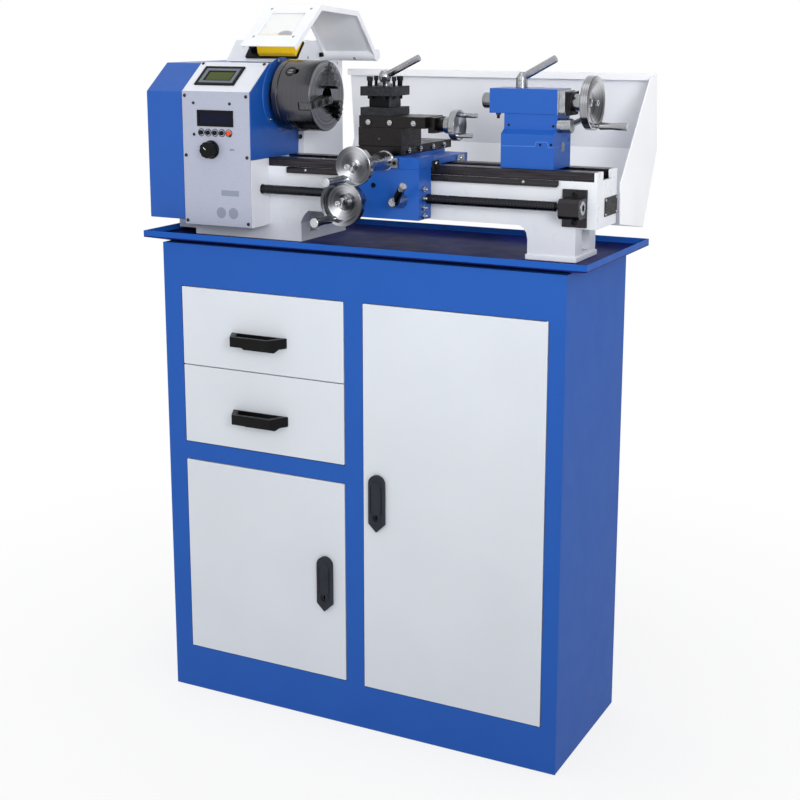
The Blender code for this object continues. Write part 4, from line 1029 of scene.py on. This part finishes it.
class LATHE_OT_electrics(bpy.types.Operator):
    """White electrics box behind the headstock, with the motor and belt"""
    bl_idname = "lathe.electrics"
    bl_label = "Electrics box"

    def execute(self, context):
        dress("electrics_box", stock("white"), 1.2)
        dress("motor", stock("iron"), 0.8)
        dress("drive_belt", belt_rubber(), 0.4)
        self.box_back()
        self.motor_fins()
        return {"FINISHED"}

    def box_back(self):
        """Screws in the box's back and right side, and the louvres of its back."""
        back = span("electrics_box")[1].y
        work = bmesh.new()
        for x in (-350.0, -228.0):
            for z in (945.0, 1060.0, 1174.0):
                dome_screw(work, facing((x, back, z), BACK), 3.4, 2.0)
        for y, z in ((185.0, 1178.0), (185.0, 950.0), (75.0, 1190.0)):
            dome_screw(work, facing((BOX_END, y, z), RIGHT), 3.0, 0.9)
        fitting("electrics_screws", work, "zinc")
        rows = [978.0 + 9.0 * k for k in range(7)]
        louvres("electrics_louvres", (-325.0, -253.0), back, rows, 0.9, 3.4, "white", 0.4)

    def motor_fins(self):
        """Cooling fins along the motor."""
        low, high = span("motor")
        middle = Vector((low.x + 60.0, (low.y + high.y) / 2, (low.z + high.z) / 2))
        count, radius = 24, 58.0
        work = bmesh.new()
        for k in range(count):
            out = radial(360.0 * k / count)
            slab(work, facing(middle + out * radius, out, RIGHT), rectangle(1.8, 68.0), -0.2, 1.6)
        fitting("motor_fins", work, "iron", edge=0.2, slot="dark_iron")


class LATHE_OT_splashback(bpy.types.Operator):
    """Bent splash guard behind the bed"""
    bl_idname = "lathe.splashback"
    bl_label = "Splash guard"

    def execute(self, context):
        # Its white is paler than the castings' enamel: partly its own white, partly painted light that lifts it out of
        # the lathe's shade.
        dress("splashback", powder_coat("powder-coated steel white", "#F8F9FC", "#F2F4F8", 0.5), 0.6)
        points = [(x, 185.0, 906.0) for x in (-160.0, 95.0, 350.0)]
        screws("splash_screws", points, (0, -0.87, 0.5), 3.4, 1.6)
        return {"FINISHED"}


class LATHE_OT_carriage(bpy.types.Operator):
    """Saddle and apron with wipers, gib screws, oil hole and the half-nut lever"""
    bl_idname = "lathe.carriage"
    bl_label = "Carriage"

    def execute(self, context):
        dress("saddle apron", stock("blue"), 1.2)
        dress("cross_feed_bracket", stock("steel"), 0.8)
        self.half_nut()
        self.wipers()
        self.gib_screws()
        # A black cup stands for the oil hole: painted shade in the hole.
        turned("apron_oil_hole", facing((22.0, span("apron")[0].y, 983.0), FRONT),
               [(0, -0.4), (4.4, -0.4), (4.4, 0.5), (3.4, 0.5), (2.9, 0.15), (0, 0.15)], 24, "black", "carriage")
        screws("feed_bracket_screw", [(65.0, -113.0, 1023.0)], FRONT, 3.4, 1.8, "oxide", "carriage",
               head=socket_screw)
        return {"FINISHED"}

    def half_nut(self):
        """Half-nut lever: a bright hub, an oxide-black bar and a bright cap on it."""
        made, tree, shader = finish("bright hub and black bar", "#9C9EA2", 0.26, metal=1.0)
        root, tip = Vector((74.0, -107.0, 959.5)), Vector((101.0, -151.0, 990.0))
        way = (tip - root).normalized()
        start, end = way.dot(root) + 20.0, way.dot(tip) - 7.0       # ends of the black bar along the lever
        place = put(tree, "TexCoord")
        reach = put(tree, "VectorMath", {1: way}, {0: place.outputs["Object"]}, operation="DOT_PRODUCT")
        over = put(tree, "Math", {1: start * MM}, {0: reach.outputs["Value"]}, operation="GREATER_THAN")
        under = put(tree, "Math", {1: end * MM}, {0: reach.outputs["Value"]}, operation="LESS_THAN")
        bar = both(tree, both(tree, over.outputs[0], under.outputs[0]), beyond(tree, "X", 79.5))
        bright = mottled(tree, 2.0, "#8A8C91", "#B9BBC0")
        feed(tree, shader, "Base Color", blended(tree, bar, bright, "#1C1D21"))
        relief(tree, shader, grain(tree, 0.8), 0.01)
        dress("half_nut_lever", made, 0.8)

    def wipers(self):
        """Felt wipers over the ways at the saddle's end, with a screw in each."""
        x = span("saddle")[1].x
        strip("front_wiper", (x - 0.3, x + 2.6), (-57.0, -33.0), (1005.0, 1024.0), "felt", "carriage", 0.8)
        screws("wiper_screws", [(x + 2.6, -45.0, 1019.0), (x + 2.6, 58.0, 1019.5)], RIGHT, 3.6, 2.2, body="carriage")
        strip("rear_wiper", (x - 0.3, x + 2.6), (44.0, 72.0), (1010.0, 1026.0), "steel", "carriage", 0.6)

    def gib_screws(self):
        """Adjusting screws with lock nuts on the apron's right side."""
        x = span("apron")[1].x
        for number, z in enumerate((979.0, 963.5, 948.0, 934.0)):
            work = bmesh.new()
            hex_nut(work, facing((x, -92.0, z), RIGHT), 9.0, 4.0, 2.6)
            lathe(work, facing((x + 4.0, -92.0, z), RIGHT),
                  [(0, -0.3), (2.4, -0.3), (2.4, 4.4), (1.8, 5.2), (0, 5.2)], 16)
            fitting("apron_gib_screw_%d" % (number + 1), work, "zinc", "carriage", 0.2)


class LATHE_OT_wheels(bpy.types.Operator):
    """Handwheels and levers of bright spun steel, with hub screws"""
    bl_idname = "lathe.wheels"
    bl_label = "Handwheels and levers"

    def execute(self, context):
        centres = {"carriage": ((-4.0, 0.0, 958.0), "Y"), "cross": ((45.0, 0.0, 1026.0), "Y"),
                   "compound": ((0.0, -50.0, 1084.8), "X"), "tailstock": ((0.0, 0.0, SPINDLE_Z), "X")}
        for key, (centre, axis) in centres.items():
            # The dark tone stands for painted dark reflections, and bright steel for painted highlights in spokes on
            # the faces.
            steel = turned_steel("polished steel of the %s wheel" % key, "#36373C", colours().steel, centre, axis,
                                 0.17)
            dress(key + "_handwheel", steel, 0.8)
        dress("tool_clamp_lever quill_lock_lever tailstock_clamp_lever", stock("steel"), 0.8)
        for key, point, out in (("carriage", (-4.0, -183.0, 958.0), FRONT), ("cross", (45.0, -238.0, 1026.0), FRONT),
                                ("tail", (379.0, 0.0, SPINDLE_Z), RIGHT)):
            work = bmesh.new()
            socket_screw(work, facing(point, out), 5.2, 3.5)
            fitting(key + "_hub_nut", work, "zinc", key + "_wheel", 0.2, "polished_steel")
        return {"FINISHED"}


class LATHE_OT_slides(bpy.types.Operator):
    """Cross slide, compound and top slide with their gib screws"""
    bl_idname = "lathe.slides"
    bl_label = "Slides"

    def execute(self, context):
        dress("cross_slide compound_base top_slide", stock("pale iron"), 0.7)
        x = span("cross_slide")[1].x
        self.gibs("cross", [(x, y, 1040.0) for y in (-60.0, -15.0, 35.0, 80.0)], RIGHT)
        y = span("top_slide")[0].y
        self.gibs("top", [(x, y, 1088.0) for x in (2.0, 43.0, 88.0)], FRONT)
        turned("compound_dowel", facing((22.0, span("compound_base")[0].y, 1060.0), FRONT),
               [(0, -0.3), (1.8, -0.3), (1.8, 0.2), (0, 0.2)], 16, "oxide", "compound", 0.0, "dark_iron")
        return {"FINISHED"}

    def gibs(self, key, points, out):
        """Lock nuts of a slide's gib, each with the end of its screw."""
        work = bmesh.new()
        for point in points:
            hex_nut(work, facing(point, out), 8.6, 3.2, 2.4)
        fitting(key + "_gib_screws", work, "zinc", key + "_slide", 0.2)


class LATHE_OT_tool_post(bpy.types.Operator):
    """Oil-blackened tool post with its clamping screws"""
    bl_idname = "lathe.tool_post"
    bl_label = "Tool post"

    def execute(self, context):
        dress("tool_post", oxide_steel("oil-blackened steel", "#0B0C10", "#45474C", 0.36), 0.6)
        return {"FINISHED"}


class LATHE_OT_tailstock(bpy.types.Operator):
    """Tailstock casting with its seam, screws, flange plate and quill"""
    bl_idname = "lathe.tailstock"
    bl_label = "Tailstock"
    front = -42.0       # y of the casting's front
    end = 322.5         # x of the casting's right end

    def execute(self, context):
        dress("tailstock_body", self.body_finish(), 1.4)
        quill = turned_steel("ground quill", "#6F7174", "#A7A9AD", (0.0, 0.0, SPINDLE_Z), "X", 0.18, 1.6)
        dress("tailstock_quill", quill, 0.6)
        self.seam()
        self.small_screws()
        self.offset_scale()
        return {"FINISHED"}

    def body_finish(self):
        """Blue enamel up to the flange, which is bright, and the dark plate behind it."""
        hue = colours()
        made, tree, shader = finish("enamelled tailstock with bright flange", hue.blue, 0.34, shine=0.3)
        paint = mottled(tree, 90.0, hue.blue, hue.blue_shade)
        lines = ranged(tree, grain(tree, 1.2, (1.0, 1.0, 0.1)), 0.0, 1.0)
        flange = self.end + 0.1
        for edge, code, light in ((flange, "#8D8F93", "#B5B7BB"), (333.2, "#1B1B1E", "#2E2E31")):
            paint = blended(tree, beyond(tree, "X", edge), paint, blended(tree, lines, code, light))
        feed(tree, shader, "Base Color", paint)
        feed(tree, shader, "Metallic", both(tree, beyond(tree, "X", flange), beyond(tree, "Z", 1100.0)))
        relief(tree, shader, grain(tree, 2.2), 0.018)
        return made

    def seam(self):
        """Thin raised bead where the two castings meet, stepping over the setscrew."""
        work = bmesh.new()
        path = [(228.4, 1053.0), (289.5, 1054.0), (291.0, 1061.5), (311.0, 1061.5), (313.0, 1052.5), (322.0, 1053.0)]
        for start, end in zip(path, path[1:]):
            start, end = Vector(start), Vector(end)
            way = (end - start).normalized()
            side, more = Vector((-way.y, way.x)) * 0.55, way * 0.3
            corners = [start - side - more, end - side + more, end + side + more, start + side - more]
            slab(work, facing((0.0, self.front, 0.0), FRONT), [tuple(c) for c in corners], -0.3, 0.25)
        slab(work, facing((self.end, 0.0, 0.0), RIGHT),
             [(-41.6, 1052.6), (35.6, 1055.6), (35.6, 1056.6), (-41.6, 1053.6)], -0.3, 0.25)
        # The bead is a paler blue than the casting: a painted highlight along it.
        shade = enamel("enamel of the joint with painted highlight", "#4A7BC8", "#4172C0", 0.4)
        fitting("tailstock_joint", work, shade, "tailstock", 0.0, "blue_paint")

    def small_screws(self):
        """Screws of the flange, setscrews in the casting and the key screw under the barrel."""
        right = span("tailstock_body")[1].x
        points = [(right, y, z) for y in (-15.5, 15.5) for z in (1109.5, 1140.5)]
        screws("flange_screws", points, RIGHT, 3.0, 1.0, "oxide", "tailstock", head=socket_screw)
        work = bmesh.new()
        for point, out in (((236.5, -28.5, 1087.0), FRONT), ((315.5, -28.5, 1087.0), FRONT),
                           ((298.3, self.front, 1057.0), FRONT), ((317.5, self.front, 1057.5), FRONT),
                           ((self.end, 25.0, 1062.0), RIGHT)):
            lathe(work, facing(point, out), [(0, -0.3), (2.2, -0.3), (2.2, 0.2), (0, 0.2)], 14)
        fitting("tailstock_setscrews", work, "black", "tailstock", 0.0)
        turned("barrel_key_screw", facing((213.5, -19.0, 1106.0), (0, 0, -1), BACK),
               [(0, -0.4), (4.6, -0.4), (4.6, 3.2), (2.6, 3.4), (2.6, 9.0), (2.0, 9.6), (0, 9.6)], 18, "oxide",
               "tailstock")

    def offset_scale(self):
        """Small plate with a scale of five lines at the casting's end."""
        work = bmesh.new()
        block(work, (322.2, 323.3), (-7.5, 4.5), (1044.0, 1059.5))
        for k in range(5):
            block(work, (323.1, 323.5), (-6.5, -0.5 if k % 2 else 3.0), (1045.5 + 2.8 * k, 1046.3 + 2.8 * k))
        fitting("offset_scale", work, "steel", "tailstock", 0.0)


class LATHE_OT_drive(bpy.types.Operator):
    """Leadscrew with its thread"""
    bl_idname = "lathe.drive"
    bl_label = "Leadscrew"

    def execute(self, context):
        made, tree, shader = finish("rolled steel thread", "#48484B", 0.28, metal=1.0)
        # The thread's turns are 2.6 mm apart along the shaft.
        ridges = waves(tree, along(tree, "X"), 2.6)
        # Dark in each groove and pale on each crest: painted shade and highlight of a thread that is only a bump.
        feed(tree, shader, "Base Color", blended(tree, ridges, "#131316", "#3E3F43"))
        relief(tree, shader, ridges, 0.3)
        patchy(tree, shader, 12.0, 0.22, 0.36)
        dress("leadscrew", made, 0.2)
        return {"FINISHED"}


class LATHE_OT_stage(bpy.types.Operator):
    """Pale floor, soft light and camera"""
    bl_idname = "lathe.stage"
    bl_label = "Stage"

    # Each lamp: its place, its target and its side in metres, its power in watts, its spread in degrees.
    lamps = {"key": ((0.1, -3.8, 2.2), (0.0, 0.0, 0.8), 2.2, 19.0, 180.0),
             "side": ((1.7, -1.9, 1.6), (-0.1, 0.05, 1.12), 0.8, 3.0, 50.0),
             "top": ((0.2, -0.6, 3.2), (0.0, 0.1, 1.0), 1.4, 5.5, 180.0)}
    world_light = 0.76
    lens = 64.26                            # mm, on a sensor 36 mm wide
    lens_shift = -0.1                       # of the picture's width
    eye = (1.1639, -2.2474, 1.2541)         # metres
    yaw, pitch = -27.01, 11.77              # degrees: below zero the yaw is to the left; the pitch is down

    def execute(self, context):
        self.floor()
        self.world()
        for name, settings in self.lamps.items():
            self.lamp(name, *settings)
        self.camera()
        bpy.context.scene.view_settings.view_transform = "Standard"
        return {"FINISHED"}

    def looked_at(self, tree):
        """1 for rays that show a thing to the camera, straight, in a reflection or through glass."""
        seen = put(tree, "LightPath")
        share = seen.outputs["Is Camera Ray"]
        for kind in ("Is Glossy Ray", "Is Transmission Ray"):
            share = put(tree, "Math", {}, {0: share, 1: seen.outputs[kind]}, operation="MAXIMUM").outputs[0]
        return share

    def floor(self):
        """White floor just below the feet."""
        mesh = bpy.data.meshes.new("floor")
        work = bmesh.new()
        z = -2.0 * MM
        corners = [work.verts.new((x, y, z)) for x, y in ((-9, -6), (9, -6), (9, 12), (-9, 12))]
        work.faces.new(corners)
        work.to_mesh(mesh)
        work.free()
        floor = bpy.data.objects.new("floor", mesh)
        bpy.context.scene.collection.objects.link(floor)
        made, tree, shader = finish("matt white studio floor", "#F4F4F5", 0.8)
        relief(tree, shader, grain(tree, 6.0), 0.02)
        white = put(tree, "Emission", {"Color": (1.0, 1.0, 1.0, 1.0), "Strength": 1.0})
        # The floor is lifted toward white for what looks at it, and keeps part of the shadow.
        place = put(tree, "TexCoord")
        away = put(tree, "VectorMath", {}, {0: place.outputs["Object"]}, operation="LENGTH")
        lift = put(tree, "MapRange", {"From Min": 0.5, "From Max": 1.5, "To Min": 0.80, "To Max": 1.0},
                   {"Value": away.outputs["Value"]})
        part = both(tree, self.looked_at(tree), lift.outputs[0])
        mix = put(tree, "MixShader", {}, {0: part, 1: shader.outputs[0], 2: white.outputs[0]})
        tree.links.new(mix.outputs[0], tree.nodes["Material Output"].inputs["Surface"])
        mesh.materials.append(made)

    def world(self):
        """Even light from all round, in front of a white backdrop."""
        world = bpy.data.worlds.new("studio")
        bpy.context.scene.world = world
        world.use_nodes = True
        tree = world.node_tree
        lamp = tree.nodes["Background"]
        lamp.inputs["Color"].default_value = (1.0, 1.0, 1.0, 1.0)
        lamp.inputs["Strength"].default_value = self.world_light
        white = put(tree, "Background", {"Color": (1.0, 1.0, 1.0, 1.0), "Strength": 1.0})
        mix = put(tree, "MixShader", {}, {0: self.looked_at(tree), 1: lamp.outputs[0], 2: white.outputs[0]})
        tree.links.new(mix.outputs[0], tree.nodes["World Output"].inputs["Surface"])

    def lamp(self, name, place, target, size, power, spread):
        """A square lamp that looks at its target."""
        data = bpy.data.lights.new(name, "AREA")
        data.spread = math.radians(spread)
        data.shape = "SQUARE"
        data.size = size
        data.energy = power
        lamp = bpy.data.objects.new(name, data)
        lamp.location = place
        lamp.rotation_euler = (Vector(place) - Vector(target)).to_track_quat("Z", "Y").to_euler()
        bpy.context.scene.collection.objects.link(lamp)

    def camera(self):
        """The camera, right of the lathe's front and a little above it."""
        data = bpy.data.cameras.new("camera")
        data.lens = self.lens
        data.sensor_width = 36.0
        data.shift_y = self.lens_shift
        camera = bpy.data.objects.new("camera", data)
        camera.location = self.eye
        yaw, pitch = math.radians(self.yaw), math.radians(self.pitch)
        look = Vector((math.sin(yaw) * math.cos(pitch), math.cos(yaw) * math.cos(pitch), -math.sin(pitch)))
        camera.rotation_euler = look.to_track_quat("-Z", "Y").to_euler()
        bpy.context.scene.collection.objects.link(camera)
        bpy.context.scene.camera = camera


OPERATORS = (LATHE_OT_cabinet, LATHE_OT_tray, LATHE_OT_bed, LATHE_OT_headstock, LATHE_OT_displays,
             LATHE_OT_controls, LATHE_OT_chuck, LATHE_OT_guard, LATHE_OT_electrics, LATHE_OT_splashback,
             LATHE_OT_carriage, LATHE_OT_wheels, LATHE_OT_slides, LATHE_OT_tool_post, LATHE_OT_tailstock,
             LATHE_OT_drive, LATHE_OT_stage)


class LATHE_PT_sidebar(bpy.types.Panel):
    """Lists the colours, the sizes and every step"""
    bl_label = "Bench Lathe"
    bl_idname = "LATHE_PT_sidebar"
    bl_space_type = "VIEW_3D"
    bl_region_type = "UI"
    bl_category = "Lathe"

    def draw(self, context):
        layout = self.layout
        for group in (context.scene.lathe_colours, context.scene.lathe_sizes):
            box = layout.box()
            for name in group.__annotations__:
                box.prop(group, name)
        for operator in OPERATORS:
            layout.operator(operator.bl_idname)


CLASSES = (LatheColours, LatheSizes) + OPERATORS + (LATHE_PT_sidebar,)


def register():
    for entry in CLASSES:
        bpy.utils.register_class(entry)
    bpy.types.Scene.lathe_colours = bpy.props.PointerProperty(type=LatheColours)
    bpy.types.Scene.lathe_sizes = bpy.props.PointerProperty(type=LatheSizes)


def unregister():
    del bpy.types.Scene.lathe_sizes
    del bpy.types.Scene.lathe_colours
    for entry in reversed(CLASSES):
        bpy.utils.unregister_class(entry)


def main():
    register()
    for operator in OPERATORS:
        step = operator.bl_idname.split(".")[1]
        getattr(bpy.ops.lathe, step)()


if __name__ == "__main__":
    main()
